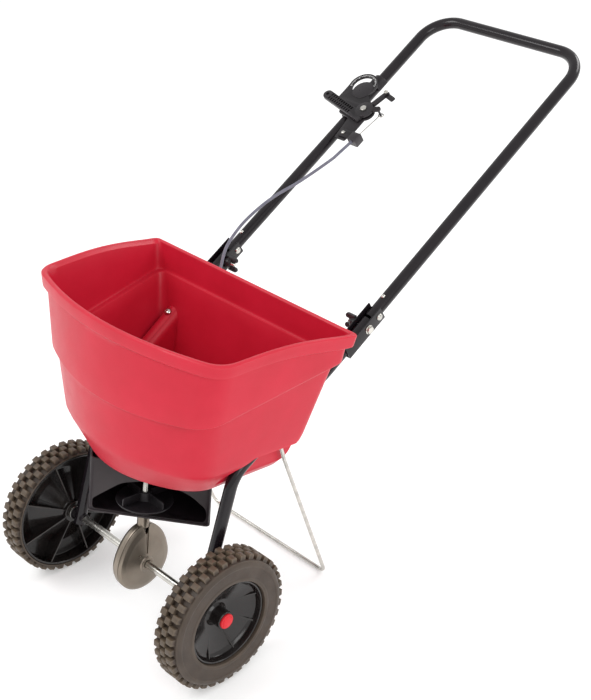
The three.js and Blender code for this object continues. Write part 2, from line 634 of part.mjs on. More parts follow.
function placeJoint(run, side, hand) {
  place(run, `joint_channel_${side}`, hand(makeChannel()), BLACK_PAINT);
  place(run, `knob_bolt_${side}`, hand(makeKnobBolt()), ZINC);
  place(run, `wing_knob_${side}`, hand(makeWingKnob()), BLACK_PLASTIC);
  place(run, `joint_rivet_${side}`, hand(makeRivet()), ZINC);
  place(run, `hopper_bolt_${side}`, hand(makeHopperBolt().translate(tubeX(HOPPER_BOLT_AT) - TUBE_X, HOPPER_BOLT_AT, 0)), ZINC);
}
placeJoint(rightRun, 'right', (g) => g);
placeJoint(leftRun, 'left', mirrored);

// ---------- flow control on the left handle tube ----------
const [PX, PY] = CONTROL_PIVOT;
const CLAMP_SCREW = [33, 458];
const atPivot = (geometry) => geometry.translate(PX, PY, 0);
const onTube = (r, t0, t1, sides = 24) => rod(r, t0, t1, sides).rotateX(-Math.PI / 2);

const DIAL = [-12, 567];

function makeControlBody() {
  const saddle = common(onTube(14.5, 500, 546), box(-30, 30, 490, 560, GAP, 40));
  const ears = box(-23, 23, 512, 534, GAP, 5);
  const plate = slab([[-14, 498], [14, 492], [20, 446], [42, 446], [47, 470], [44, 528], [14, 548], [-14, 548]], 12, 16.5);
  const clampHole = rod(2.1, 0, 30, 10).translate(...CLAMP_SCREW, 0);
  const boss = atPivot(rod(17, 12, 16.5, 32));
  const dial = rod(28, 12, 16.5, 40).translate(...DIAL, 0);
  const leg = box(DIAL[0] - 28, -12, 524, DIAL[1], 12, 16.5);
  const crescent = cut(rod(20.5, 0, 30, 32).translate(...DIAL, 0), rod(21, -5, 35, 32).translate(DIAL[0] + 8, DIAL[1] - 10, 0));
  const collar = common(onTube(14.5, 576, 600), box(-30, 30, 560, 610, GAP, 40));
  const tubeBore = onTube(TUBE_R + GAP, 400, 700);
  const screws = [-18.5, 18.5].map((x) => rod(2.4, -30, 30, 10).translate(x, 523, 0));
  return cut(join(saddle, ears, plate, boss, dial, leg, collar), crescent, tubeBore, atPivot(rod(3.4, 0, 30, 16)), clampHole, ...screws);
}

function makeControlStrap() {
  const band = common(onTube(13, 514, 532), box(-30, 30, 490, 560, -40, -GAP));
  const ears = box(-23, 23, 514, 532, -3.5, -GAP);
  const screws = [-18.5, 18.5].map((x) => rod(2.4, -30, 30, 10).translate(x, 523, 0));
  return cut(join(band, ears), onTube(TUBE_R + GAP, 400, 700), ...screws);
}

function makeControlScrew(x) {
  const screw = join(rod(2.1, -3.8, 6, 10), rod(3.8, 5 + GAP, 8, 12), hexHead(3.8, -6.6, -3.8));
  return screw.translate(x, 523, 0);
}

const LEVER_SLANT = 13.2;     // degrees the lever's bar slants up the run
function makeLever() {
  const boss = rod(17, 20, 25, 36);
  const bar = [...circlePoints(-93, -15.4, 9.2, 90, 270, 10), [8, -24.6], [8, -6.2]];
  const arm = slab(bar, 17, 25).rotateZ(-rad(LEVER_SLANT));
  const under = rod(14.4, 10, 20, 32);
  const wireArm = box(0, WIRE_ARM, -5, 5, 20, 25).rotateZ(rad(LEVER_SWING / 2));
  const end = rod(5, 20, 25, 20).translate(WIRE_ARM, 0, 0).rotateZ(rad(LEVER_SWING / 2));
  const pin = rod(2, 3, 22, 12).translate(WIRE_ARM, 0, 0).rotateZ(rad(LEVER_SWING / 2));
  return atPivot(cut(join(cut(arm, under), boss, wireArm, end, pin), rod(3.4, 0, 40, 16)));
}

// Adjustable stop that limits how far the lever opens.
const STOP_REST = 75;         // degrees from the X direction, clear of the lever
function makeRateStop() {
  const eye = rod(11, 17, 19.6, 28);
  const arm = slab([[0, -5], [50, -4], [56, -1], [56, 4], [14, 5], [0, 5]], 17, 19.6);
  const rise = box(18, 52, -4, 4, 17, 24);
  const tab = box(44, 54, -22, 0, 17, 20);
  return atPivot(cut(join(eye, arm, rise, tab), rod(3.4, 0, 40, 16)).rotateZ(rad(STOP_REST)));
}

function makePivotBolt() {
  return atPivot(join(rod(3.1, 6, 27, 14), hexHead(6.2, 25 + GAP, 29), hexHead(5.8, 7.5, 12 - GAP)));
}

place(leftRun, 'control_body', makeControlBody(), BLACK_PLASTIC);
place(leftRun, 'control_strap', makeControlStrap(), BLACK_PAINT);
place(leftRun, 'control_screw_outer', makeControlScrew(-18.5), ZINC);
place(leftRun, 'control_screw_inner', makeControlScrew(18.5), ZINC);
place(leftRun, 'lever_pivot_bolt', makePivotBolt(), ZINC);
place(leftRun, 'control_lever', makeLever(), BLACK_PLASTIC);
place(leftRun, 'rate_stop', makeRateStop(), BLACK_PLASTIC);

// ---------- control cable ----------
// `wireLine` has its Y along the upper wire and its origin at the end of the cable housing.
const PIN_RUN = PY + WIRE_ARM * Math.sin(rad(LEVER_SWING / 2));
const PIN_X_IN = PX + WIRE_ARM * Math.cos(rad(LEVER_SWING / 2));
const HOUSING_END = [PIN_X_IN, 462, 16];
const wireLine = new THREE.Group();
wireLine.position.set(...HOUSING_END);
wireLine.rotation.x = -rad(WIRE_SLOPE);
leftRun.add(wireLine);
const PIN_ALONG = (PIN_RUN - HOUSING_END[1]) / Math.cos(rad(WIRE_SLOPE));

function makeUpperWire() {
  const wire = onTube(1, -30, PIN_ALONG - 6, 8);
  const eye = box(-7, 7, PIN_ALONG - 7, PIN_ALONG + 7, -1.5, 1.5);
  const slot = box(-3, 5.2, PIN_ALONG - 2.8, PIN_ALONG + 2.8, -5, 5);
  return join(wire, cut(eye, slot));
}

function makeCableClamp() {
  const tab = box(25, 55, 450, 466, 16.8, 19.8);
  const block = box(53, 71, 447, 465, 6, 24);
  const bore = onTube(CABLE_R + GAP, -40, 40, 16).rotateX(-rad(WIRE_SLOPE)).translate(...HOUSING_END);
  return cut(join(tab, block), bore, rod(2.1, 0, 40, 10).translate(...CLAMP_SCREW, 0));
}

// Centre line of the housing in the machine: straight at both ends, where the wires slide.
function housingLine() {
  const upper = (back) => {
    const a = rad(WIRE_SLOPE);
    const [y, z] = onRun(HOUSING_END[1] - back * Math.cos(a), HOUSING_END[2] + back * Math.sin(a));
    return v3(HOUSING_END[0] - TUBE_X, y, z);
  };
  const beside = (x, along, above) => v3(x, ...onRun(along, above));
  const lower = (y) => v3(SHAFT_X, y, WIRE_Z);
  const points = [
    upper(0), upper(28), upper(56), upper(62),
    beside(-125, 330, 27), beside(-143, 285, 30), beside(-148, 245, 35), beside(-149, 200, 37),
    beside(-146, 158, 31), beside(-140, 132, 19),
    v3(-132, 246, 375), v3(-112, 238, 325), v3(-82, 240, 275), v3(-48, 252, 230), v3(-16, 268, 197),
    v3(2, 270, 187), lower(256), lower(250), lower(228), lower(LUG_Y - 2),
  ];
  return new THREE.CatmullRomCurve3(points, false, 'centripetal');
}

function makeHousing() {
  const body = sweep(housingLine(), CABLE_R, 8, 62);
  const upperBore = onTube(1.5, -56, 5, 8).rotateX(-rad(WIRE_SLOPE)).translate(...HOUSING_END)
    .translate(-TUBE_X, 0, 0).rotateX(rad(RUN_ANGLE)).translate(0, RUN_Y, RUN_Z);
  const lowerBore = onTube(1.5, LUG_Y - 8, 251, 8).translate(SHAFT_X, 0, WIRE_Z);
  return cut(body, upperBore, lowerBore);
}

place(wireLine, 'upper_wire', makeUpperWire(), ZINC);
place(leftRun, 'cable_clamp', makeCableClamp(), BLACK_PLASTIC);
place(leftRun, 'cable_clamp_screw', join(rod(1.8, 9, 21, 10), rod(3.6, 19.8 + GAP, 22.4, 12))
  .translate(...CLAMP_SCREW, 0), ZINC);
place(machine, 'cable_conduit', makeHousing(), GREY_CABLE);

export default spreader;
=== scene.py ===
"""Walk-behind broadcast garden spreader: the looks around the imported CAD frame."""
import math

import bmesh
import bpy
from mathutils import Matrix, Vector
from mathutils.geometry import tessellate_polygon


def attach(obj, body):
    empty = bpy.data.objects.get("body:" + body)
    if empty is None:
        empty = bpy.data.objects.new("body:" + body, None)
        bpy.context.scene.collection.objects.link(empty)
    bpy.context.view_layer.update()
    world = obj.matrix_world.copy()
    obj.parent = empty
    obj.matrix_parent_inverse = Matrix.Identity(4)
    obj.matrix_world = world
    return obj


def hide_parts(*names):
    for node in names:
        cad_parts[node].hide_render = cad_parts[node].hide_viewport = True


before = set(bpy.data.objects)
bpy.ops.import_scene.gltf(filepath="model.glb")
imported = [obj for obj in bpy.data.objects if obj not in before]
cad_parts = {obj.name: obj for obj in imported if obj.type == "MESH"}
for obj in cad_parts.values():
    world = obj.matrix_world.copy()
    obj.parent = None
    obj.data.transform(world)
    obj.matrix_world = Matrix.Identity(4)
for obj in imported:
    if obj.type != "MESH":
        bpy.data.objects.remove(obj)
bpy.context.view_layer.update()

# ---------------------------------------------------------------- dimensions, in millimetres
PARK_TILT = math.radians(8.35)      # the machine leans back on its stand
RUN_ANGLE = math.radians(38.05)     # slope of the handle, in the upright machine
MID_Y = 388.5                       # from the axle back to the frame's origin
WHEEL_R = 114.3
TUBE_R = 10.0
TUBE_X = 165.0
RUN_Y, RUN_Z = 167.8, 313.9
SHAFT_X = 6.0
HOPPER_Z = 188.0
WALL = 3.6
LEDGE_Z = 342.0
LEDGE_SLOPE = math.tan(math.radians(14.3))
PIVOT = (38.0, 514.0)               # flow lever pivot, on the left run
WIRE_SLOPE = math.radians(7.8)

MACHINE = (Matrix.Translation((0, -MID_Y / 1000, WHEEL_R / 1000))
           @ Matrix.Rotation(-PARK_TILT, 4, "X") @ Matrix.Scale(0.001, 4))


def run_frame(x):
    """X outwards, Y up one handle tube, Z square to it."""
    return MACHINE @ Matrix.Translation((x, RUN_Y, RUN_Z)) @ Matrix.Rotation(RUN_ANGLE, 4, "X")


LEFT_RUN = run_frame(-TUBE_X)
MIDDLE_RUN = run_frame(0)


def on_run(along, above=0.0):
    c, s = math.cos(RUN_ANGLE), math.sin(RUN_ANGLE)
    return RUN_Y + along * c - above * s, RUN_Z + along * s + above * c


# ---------------------------------------------------------------- materials
def new_material(name):
    mat = bpy.data.materials.new(name)
    mat.use_nodes = True
    return mat, mat.node_tree.nodes, mat.node_tree.links, mat.node_tree.nodes["Principled BSDF"]


def noise(nodes, links, scale, detail=4.0, rough=0.55, vector=None):
    tex = nodes.new("ShaderNodeTexNoise")
    tex.inputs["Scale"].default_value = scale
    tex.inputs["Detail"].default_value = detail
    tex.inputs["Roughness"].default_value = rough
    if vector is None:
        vector = nodes.new("ShaderNodeTexCoord").outputs["Object"]
    links.new(vector, tex.inputs["Vector"])
    return tex.outputs["Fac"]


def ramp(nodes, links, source, stops):
    node = nodes.new("ShaderNodeValToRGB")
    while len(node.color_ramp.elements) < len(stops):
        node.color_ramp.elements.new(0.5)
    for element, (pos, value) in zip(node.color_ramp.elements, stops):
        element.position = pos
        element.color = (*value, 1) if isinstance(value, tuple) else (value, value, value, 1)
    links.new(source, node.inputs["Fac"])
    return node.outputs["Color"]


def add_bump(nodes, links, bsdf, height, strength, distance):
    bump = nodes.new("ShaderNodeBump")
    bump.inputs["Strength"].default_value = strength
    bump.inputs["Distance"].default_value = distance
    links.new(height, bump.inputs["Height"])
    if bsdf.inputs["Normal"].is_linked:
        links.new(bsdf.inputs["Normal"].links[0].from_socket, bump.inputs["Normal"])
    links.new(bump.outputs["Normal"], bsdf.inputs["Normal"])


def painted_edge_highlight(nodes, links, stops):
    """Lightens convex edges with a painted highlight."""
    point = nodes.new("ShaderNodeNewGeometry").outputs["Pointiness"]
    return ramp(nodes, links, point, stops)


def mix_color(nodes, links, factor, a, b):
    mix = nodes.new("ShaderNodeMix")
    mix.data_type = "RGBA"
    links.new(factor, mix.inputs["Factor"])
    for socket, value in ((mix.inputs[6], a), (mix.inputs[7], b)):
        if isinstance(value, tuple):
            socket.default_value = (*value, 1)
        else:
            links.new(value, socket)
    return mix.outputs[2]


def surface(name, dark, light, rough, bump, scale, metallic=0.0, coat=0.0, edge=None, specular=0.5):
    """A two-tone surface with uneven gloss and a fine texture. bump is (size, strength, depth)."""
    mat, nodes, links, bsdf = new_material(name)
    mottled = ramp(nodes, links, noise(nodes, links, scale), [(0.3, dark), (0.7, light)])
    # edge is the colour of a painted highlight laid along convex edges
    if edge:
        edge_highlight_mask = painted_edge_highlight(nodes, links, [(0.5, 0.0), (0.62, 0.75)])
        mottled = mix_color(nodes, links, edge_highlight_mask, mottled, edge)
    links.new(mottled, bsdf.inputs["Base Color"])
    gloss = ramp(nodes, links, noise(nodes, links, scale * 2.3), [(0.25, rough[0]), (0.75, rough[1])])
    links.new(gloss, bsdf.inputs["Roughness"])
    bsdf.inputs["Metallic"].default_value = metallic
    bsdf.inputs["Coat Weight"].default_value = coat
    bsdf.inputs["Coat Roughness"].default_value = 0.08
    bsdf.inputs["Specular IOR Level"].default_value = specular
    add_bump(nodes, links, bsdf, noise(nodes, links, bump[0], 3.0), bump[1], bump[2])
    return mat


# The edge colours below are painted highlights along convex edges.
RED = surface("moulded_red", (0.50, 0.010, 0.028), (0.56, 0.013, 0.036), (0.30, 0.40),
              (1500, 0.3, 0.0003), 14, edge=(0.66, 0.05, 0.07), specular=0.28)
GLOSS_BLACK = surface("powder_coat_black", (0.007, 0.005, 0.007), (0.012, 0.009, 0.011), (0.14, 0.24),
                      (900, 0.10, 0.0002), 30, coat=0.18, specular=0.25)
SATIN_BLACK = surface("moulded_black", (0.007, 0.006, 0.007), (0.014, 0.011, 0.013), (0.26, 0.4),
                      (1400, 0.3, 0.0003), 40, edge=(0.05, 0.045, 0.05), specular=0.3)
GREY_BLACK = surface("shroud_black", (0.012, 0.008, 0.010), (0.020, 0.014, 0.017), (0.3, 0.45),
                     (1200, 0.3, 0.0003), 40, edge=(0.07, 0.06, 0.06), specular=0.25)
WHEEL_BLACK = surface("wheel_black", (0.008, 0.006, 0.006), (0.014, 0.011, 0.010), (0.14, 0.24),
                      (1100, 0.15, 0.0002), 30, coat=0.15, edge=(0.05, 0.045, 0.04), specular=0.4)
RUBBER = surface("tyre_rubber", (0.036, 0.024, 0.017), (0.060, 0.042, 0.030), (0.42, 0.62),
                 (700, 0.45, 0.0005), 22, edge=(0.16, 0.12, 0.08), specular=0.4)
ZINC = surface("bright_zinc", (0.50, 0.49, 0.46), (0.70, 0.68, 0.63), (0.16, 0.30),
               (600, 0.06, 0.0001), 60, metallic=1.0)
PEWTER = surface("pewter_case", (0.22, 0.185, 0.15), (0.31, 0.265, 0.215), (0.26, 0.40),
                 (900, 0.25, 0.0003), 18, metallic=0.85)
CABLE = surface("cable_sheath", (0.115, 0.115, 0.155), (0.17, 0.17, 0.215), (0.35, 0.5),
                (900, 0.2, 0.0002), 60)
NYLON = surface("natural_nylon", (0.55, 0.52, 0.45), (0.66, 0.63, 0.56), (0.4, 0.55),
                (900, 0.2, 0.0002), 40)
CAP_RED = surface("cap_red", (0.60, 0.012, 0.020), (0.66, 0.018, 0.028), (0.3, 0.4),
                  (1200, 0.2, 0.0002), 60, specular=0.25)
WHITE_INK = surface("printed_white", (0.75, 0.75, 0.74), (0.85, 0.85, 0.84), (0.4, 0.5),
                    (900, 0.1, 0.0001), 60)


# ---------------------------------------------------------------- mesh helpers: shapes are (points, faces)
def joined(*shapes):
    points, faces = [], []
    for p, f in shapes:
        base = len(points)
        points += list(p)
        faces += [[i + base for i in face] for face in f]
    return points, faces


def moved(shape, matrix):
    return [matrix @ Vector(p) for p in shape[0]], shape[1]


def shifted(shape, x=0.0, y=0.0, z=0.0):
    return moved(shape, Matrix.Translation((x, y, z)))


def turned(shape, degrees, axis="Z"):
    return moved(shape, Matrix.Rotation(math.radians(degrees), 4, axis))


def lathe(profile, steps=64, axis="Z"):
    """Solid of revolution of a closed loop of (radius, height) pairs."""
    points, faces, n = [], [], len(profile)
    for i in range(steps):
        a = 2 * math.pi * i / steps
        points += [Vector((r * math.cos(a), r * math.sin(a), z)) for r, z in profile]
    for i in range(steps):
        for j in range(n):
            a, b = i * n, (i + 1) % steps * n
            k = (j + 1) % n
            faces.append([a + j, b + j, b + k, a + k])
    shape = (points, faces)
    return turned(shape, 90, "Y") if axis == "X" else shape


def softened(profile, radius, steps=3):
    """Rounds the corners of a closed loop of 2-D points."""
    result, n = [], len(profile)
    for i, point in enumerate(profile):
        p = Vector(point)
        a, b = Vector(profile[i - 1]) - p, Vector(profile[(i + 1) % n]) - p
        r = min(radius, a.length * 0.45, b.length * 0.45)
        if r < 0.05:
            result.append(tuple(p))
            continue
        start, end = p + a.normalized() * r, p + b.normalized() * r
        for k in range(steps + 1):
            t = k / steps
            result.append(tuple((1 - t) ** 2 * start + 2 * t * (1 - t) * p + t * t * end))
    return result


def sweep(path, radius, sides=20, flat=1.0):
    """A solid tube along points, closed at both ends."""
    points, faces, n = [], [], len(path)
    normal = None
    for i, p in enumerate(path):
        tangent = (Vector(path[min(i + 1, n - 1)]) - Vector(path[max(i - 1, 0)])).normalized()
        if normal is None:
            normal = tangent.orthogonal().normalized()
        normal = (normal - tangent * normal.dot(tangent)).normalized()
        side = tangent.cross(normal)
        for k in range(sides):
            a = 2 * math.pi * k / sides
            points.append(Vector(p) + normal * radius * math.cos(a) + side * radius * flat * math.sin(a))
    for i in range(n - 1):
        for k in range(sides):
            a, b = i * sides + k, i * sides + (k + 1) % sides
            faces.append([a, b, b + sides, a + sides])
    faces.append(list(range(sides))[::-1])
    faces.append([(n - 1) * sides + k for k in range(sides)])
    return points, faces


def bent(points, bend, steps=10):
    """Straight runs through points, joined by round bends."""
    points = [Vector(p) for p in points]
    path = [points[0]]
    for before, corner, after in zip(points, points[1:], points[2:]):
        into, out = (corner - before).normalized(), (after - corner).normalized()
        angle = into.angle(out)
        start = corner - into * bend * math.tan(angle / 2)
        axis = into.cross(out).normalized()
        centre = start + axis.cross(into) * bend
        path += [centre + Matrix.Rotation(angle * k / steps, 3, axis) @ (start - centre)
                 for k in range(steps + 1)]
    return path + [points[-1]]


def smooth_path(points, per_span=8):
    """A centripetal Catmull-Rom curve through points."""
    pts = [Vector(p) for p in points]
    pts = [2 * pts[0] - pts[1]] + pts + [2 * pts[-1] - pts[-2]]
    path = []
    for a, b, c, d in zip(pts, pts[1:], pts[2:], pts[3:]):
        before, span, after = [math.sqrt((q - p).length) for p, q in ((a, b), (b, c), (c, d))]
        leave = ((b - a) / before - (c - a) / (before + span) + (c - b) / span) * span
        arrive = ((c - b) / span - (d - b) / (span + after) + (d - c) / after) * span
        for k in range(per_span):
            t = k / per_span
            path.append((2 * t ** 3 - 3 * t ** 2 + 1) * b + (t ** 3 - 2 * t ** 2 + t) * leave
                        + (3 * t ** 2 - 2 * t ** 3) * c + (t ** 3 - t ** 2) * arrive)
    return path + [pts[-2]]


def pipe(path, radius, bore, sides=28):
    """A hollow tube along points, with flat ring ends."""
    outer, inner = sweep(path, radius, sides), sweep(path, bore, sides)
    walls = [[f for f in faces if len(f) == 4] for _, faces in (outer, inner)]
    n = len(outer[0])
    faces = walls[0] + [[i + n for i in reversed(f)] for f in walls[1]]
    last = n - sides
    for k in range(sides):
        j = (k + 1) % sides
        faces.append([j, k, n + k, n + j])
        faces.append([last + k, last + j, n + last + j, n + last + k])
    return outer[0] + inner[0], faces


def inset_loop(loop, by):
    """A counter-clockwise loop moved inwards, or outwards where by is negative."""
    n, result = len(loop), []
    for i in range(n):
        p, a, b = Vector(loop[i]), Vector(loop[i - 1]), Vector(loop[(i + 1) % n])
        d1, d2 = (p - a).normalized(), (b - p).normalized()
        n1, n2 = Vector((-d1.y, d1.x)), Vector((-d2.y, d2.x))
        result.append(tuple(p + (n1 + n2) * by / max(0.3, 1 + n1.dot(n2))))
    return result


def counter_clockwise(loop):
    area = sum(a[0] * b[1] - b[0] * a[1] for a, b in zip(loop, list(loop[1:]) + [loop[0]]))
    return list(loop) if area > 0 else list(loop)[::-1]


def plate(outline, z0, z1, bevel=0.8, holes=()):
    """A flat plate with rounded edges, from a closed outline and closed hole outlines."""
    loops = [counter_clockwise(outline)] + [counter_clockwise(h)[::-1] for h in holes]
    third = bevel * 0.3
    levels = [(bevel, z0), (third, z0 + third), (0, z0 + bevel),
              (0, z1 - bevel), (third, z1 - third), (bevel, z1)]
    points, faces, lids = [], [], ([], [])
    for loop in loops:
        base, n = len(points), len(loop)
        rings = [[Vector((x, y, z)) for x, y in inset_loop(loop, inset)] for inset, z in levels]
        for ring in rings:
            points += ring
        for j in range(len(rings) - 1):
            for i in range(n):
                a, b = base + j * n + i, base + j * n + (i + 1) % n
                faces.append([a, b, b + n, a + n])
        lids[0].append((rings[0], base))
        lids[1].append((rings[-1], base + (len(rings) - 1) * n))
    for lid in lids:
        index = [base + i for ring, base in lid for i in range(len(ring))]
        for tri in tessellate_polygon([ring for ring, _ in lid]):
            faces.append([index[i] for i in tri])
    return points, faces


UPRIGHT = Matrix.Rotation(math.radians(90), 4, "X")
ACROSS = Matrix(((0, 1, 0, 0), (0, 0, 1, 0), (1, 0, 0, 0), (0, 0, 0, 1)))


def extruded(outline, y0, y1, bevel=0.8):
    """A plate whose outline lies in X and Z, and which runs along Y."""
    return moved(plate(outline, -y1, -y0, bevel), UPRIGHT)


def crosswise(shape):
    """Turns a shape so that its X, Y and Z lie along Z, X and Y."""
    return moved(shape, ACROSS)


def block(x0, x1, y0, y1, z0, z1, bevel=0.6):
    return plate([(x0, y0), (x1, y0), (x1, y1), (x0, y1)], z0, z1, min(bevel, (z1 - z0) / 3))


def disc_outline(x, y, r, n=40, start=0.0, end=360.0):
    count = n if end - start >= 360 else n + 1
    return [(x + r * math.cos(math.radians(start + (end - start) * i / n)),
             y + r * math.sin(math.radians(start + (end - start) * i / n))) for i in range(count)]


def button(r, z0, z1, bevel=0.8, steps=32, bore=0.0):
    if bore:
        return lathe([(bore, z0), (r - bevel, z0), (r, z0 + bevel),
                      (r, z1 - bevel), (r - bevel, z1), (bore, z1)], steps)
    return plate(disc_outline(0, 0, r, steps), z0, z1, bevel)


def hex_head(r, z0, z1):
    """A hexagon with its outer corners turned off."""
    body = plate(disc_outline(0, 0, r, 6), z0, z1 - 0.5, 0.25)
    return joined(body, plate(disc_outline(0, 0, r * 0.86, 24), z1 - 1.2, z1, 0.35))


def make(name, shape, place, material, body, replaces=(), smooth=38.0):
    """Turns a shape in millimetres into a piece that rides on a body."""
    mesh = bpy.data.meshes.new(name)
    mesh.from_pydata([place @ Vector(p) for p in shape[0]], [], [list(f) for f in shape[1]])
    bm = bmesh.new()
    bm.from_mesh(mesh)
    bmesh.ops.remove_doubles(bm, verts=bm.verts, dist=2e-6)
    bmesh.ops.dissolve_degenerate(bm, dist=1e-6, edges=bm.edges)
    bmesh.ops.recalc_face_normals(bm, faces=bm.faces)
    limit = math.radians(smooth)
    for face in bm.faces:
        face.smooth = True
    for edge in bm.edges:
        edge.smooth = len(edge.link_faces) == 2 and edge.calc_face_angle(0) < limit
    bm.to_mesh(mesh)
    bm.free()
    piece = bpy.data.objects.new(name, mesh)
    bpy.context.scene.collection.objects.link(piece)
    mesh.materials.append(material)
    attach(piece, body)
    if replaces:
        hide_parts(*replaces)
    return piece


def soften_shading(mesh, degrees):
    bm = bmesh.new()
    bm.from_mesh(mesh)
    bmesh.ops.dissolve_degenerate(bm, dist=1e-6, edges=bm.edges)
    for face in bm.faces:
        face.smooth = True
    for edge in bm.edges:
        edge.smooth = len(edge.link_faces) == 2 and edge.calc_face_angle(0) < math.radians(degrees)
    bm.to_mesh(mesh)
    bm.free()


def tool_object(shape):
    """A scratch object for a closed shape given in world metres."""
    mesh = bpy.data.meshes.new("tool")
    mesh.from_pydata([tuple(p) for p in shape[0]], [], [list(f) for f in shape[1]])
    bm = bmesh.new()
    bm.from_mesh(mesh)
    bmesh.ops.remove_doubles(bm, verts=bm.verts, dist=1e-6)
    bmesh.ops.recalc_face_normals(bm, faces=bm.faces)
    bm.to_mesh(mesh)
    bm.free()
    tool = bpy.data.objects.new("tool", mesh)
    bpy.context.scene.collection.objects.link(tool)
    return tool


def combine(piece, tools, operation="DIFFERENCE", smooth=38.0):
    """Cuts, joins or intersects a piece with closed shapes given in world metres."""
    for shape in tools:
        tool = tool_object(shape) if isinstance(shape, tuple) else shape
        step = piece.modifiers.new("step", "BOOLEAN")
        step.object = tool
        step.operation = operation
        step.solver = "EXACT"
        bpy.context.view_layer.update()
        result = bpy.data.meshes.new_from_object(piece.evaluated_get(bpy.context.evaluated_depsgraph_get()))
        piece.modifiers.clear()
        piece.data = result
        bpy.data.objects.remove(tool)
    soften_shading(piece.data, smooth)
    return piece


# ---------------------------------------------------------------- camera, light and floor
def make_stage():
    floor_mat, nodes, links, bsdf = new_material("floor_white")
    tone = ramp(nodes, links, noise(nodes, links, 2.0),
                [(0.3, (0.9, 0.9, 0.9)), (0.7, (0.93, 0.93, 0.925))])
    links.new(tone, bsdf.inputs["Base Color"])
    bsdf.inputs["Roughness"].default_value = 0.9
    bsdf.inputs["Specular IOR Level"].default_value = 0.1
    bsdf.inputs["Emission Color"].default_value = (1, 1, 1, 1)
    bsdf.inputs["Emission Strength"].default_value = 0.2
    mesh = bpy.data.meshes.new("floor")
    mesh.from_pydata([(-6, -6, 0), (6, -6, 0), (6, 8, 0), (-6, 8, 0)], [], [[0, 1, 2, 3]])
    mesh.materials.append(floor_mat)
    floor = bpy.data.objects.new("floor", mesh)
    bpy.context.scene.collection.objects.link(floor)


def make_light(name, where, aim, size, power, color=(1, 1, 1)):
    data = bpy.data.lights.new(name, "AREA")
    data.shape = "RECTANGLE"
    data.size, data.size_y = size
    data.energy = power
    data.color = color
    light = bpy.data.objects.new(name, data)
    bpy.context.scene.collection.objects.link(light)
    light.location = where
    light.rotation_euler = (Vector(aim) - Vector(where)).to_track_quat("-Z", "Y").to_euler()


CAMERA_AZIMUTH, CAMERA_ELEVATION = 45.776, 30.151
CAMERA_SPOT = (1.4323, -1.0390 - MID_Y / 1000, 1.5197)
CAMERA_LENS = 47.02
AIM = (0, -0.2, 0.35)
WORLD_STRENGTH = 0.85


def make_camera():
    azimuth, elevation = math.radians(CAMERA_AZIMUTH), math.radians(CAMERA_ELEVATION)
    back = Vector((math.sin(azimuth) * math.cos(elevation), -math.cos(azimuth) * math.cos(elevation),
                   math.sin(elevation)))
    data = bpy.data.cameras.new("camera")
    data.sensor_fit = "VERTICAL"
    data.sensor_height = 24.0
    data.lens = CAMERA_LENS
    data.clip_end = 50
    camera = bpy.data.objects.new("camera", data)
    bpy.context.scene.collection.objects.link(camera)
    camera.location = CAMERA_SPOT
    camera.rotation_euler = back.to_track_quat("Z", "Y").to_euler()
    bpy.context.scene.camera = camera


make_camera()
make_stage()
make_light("key", (-1.2, -2.0, 2.6), AIM, (1.6, 1.2), 34)
make_light("fill", (2.6, -0.8, 1.6), AIM, (1.6, 1.6), 22)
make_light("rim", (0.6, 2.4, 2.0), AIM, (1.8, 1.0), 26)
world = bpy.data.worlds.new("studio")
world.use_nodes = True
world.node_tree.nodes["Background"].inputs["Color"].default_value = (1, 1, 1, 1)
world.node_tree.nodes["Background"].inputs["Strength"].default_value = WORLD_STRENGTH
bpy.context.scene.world = world
bpy.context.scene.view_settings.view_transform = "Standard"

# ---------------------------------------------------------------- hopper
# Plan of the hopper at a height: front, corner and back are Y, then the half widths at the front
# and back, then how far the front and back corners are rounded.
LOW_ROWS = [
    (188, -68, -8, 162, 137, 135, 30, 24), (232, -87, -38, 172, 166, 171, 34, 22),
    (318, -96, -46, 182, 182, 190, 32, 16), (392, -97, -49, 188, 191, 207, 28, 14)]
HIGH_ROWS = [
    (290, -99, -50, 192, 185, 203, 32, 16), (416, -99, -54, 192, 205, 222, 28, 14),
    (439, -99, -55, 193, 210, 227, 26, 12)]
COLLAR_ROWS = [(420, -102, -58, 196, 213, 232, 28, 12), (441, -103, -59, 197, 217, 235.5, 26, 10)]
ARCH_RISE = 9.0
LEAN_FROM = 60.0
BEND_AT = -160.0
BEND_X = 157.2
LEAN = math.atan2(TUBE_X - BEND_X, LEAN_FROM - BEND_AT)
TRENCH = TUBE_R + 1.8
HOPPER_BOLT_AT = 14.0
COLLAR_START, RIM_TOP = COLLAR_ROWS[0][0], COLLAR_ROWS[-1][0]
FLOOR_HOLES = ((SHAFT_X, 0, 8.5), (SHAFT_X - 34, 22, 9), (SHAFT_X, 40, 9), (SHAFT_X + 34, 22, 9))
FRAME_PATH = [(154.9, -2.2, -12.5), (BEND_X, *on_run(BEND_AT)), (TUBE_X, *on_run(LEAN_FROM)),
              (TUBE_X, *on_run(163))]


def tube_x(along):
    return TUBE_X - max(0.0, LEAN_FROM - along) * math.tan(LEAN)


def row_at(rows, z):
    z = min(max(z, rows[0][0]), rows[-1][0])
    for low, high in zip(rows, rows[1:]):
        if z <= high[0]:
            t = (z - low[0]) / (high[0] - low[0])
            return [a + (b - a) * t for a, b in zip(low, high)][1:]
    return list(rows[-1][1:])


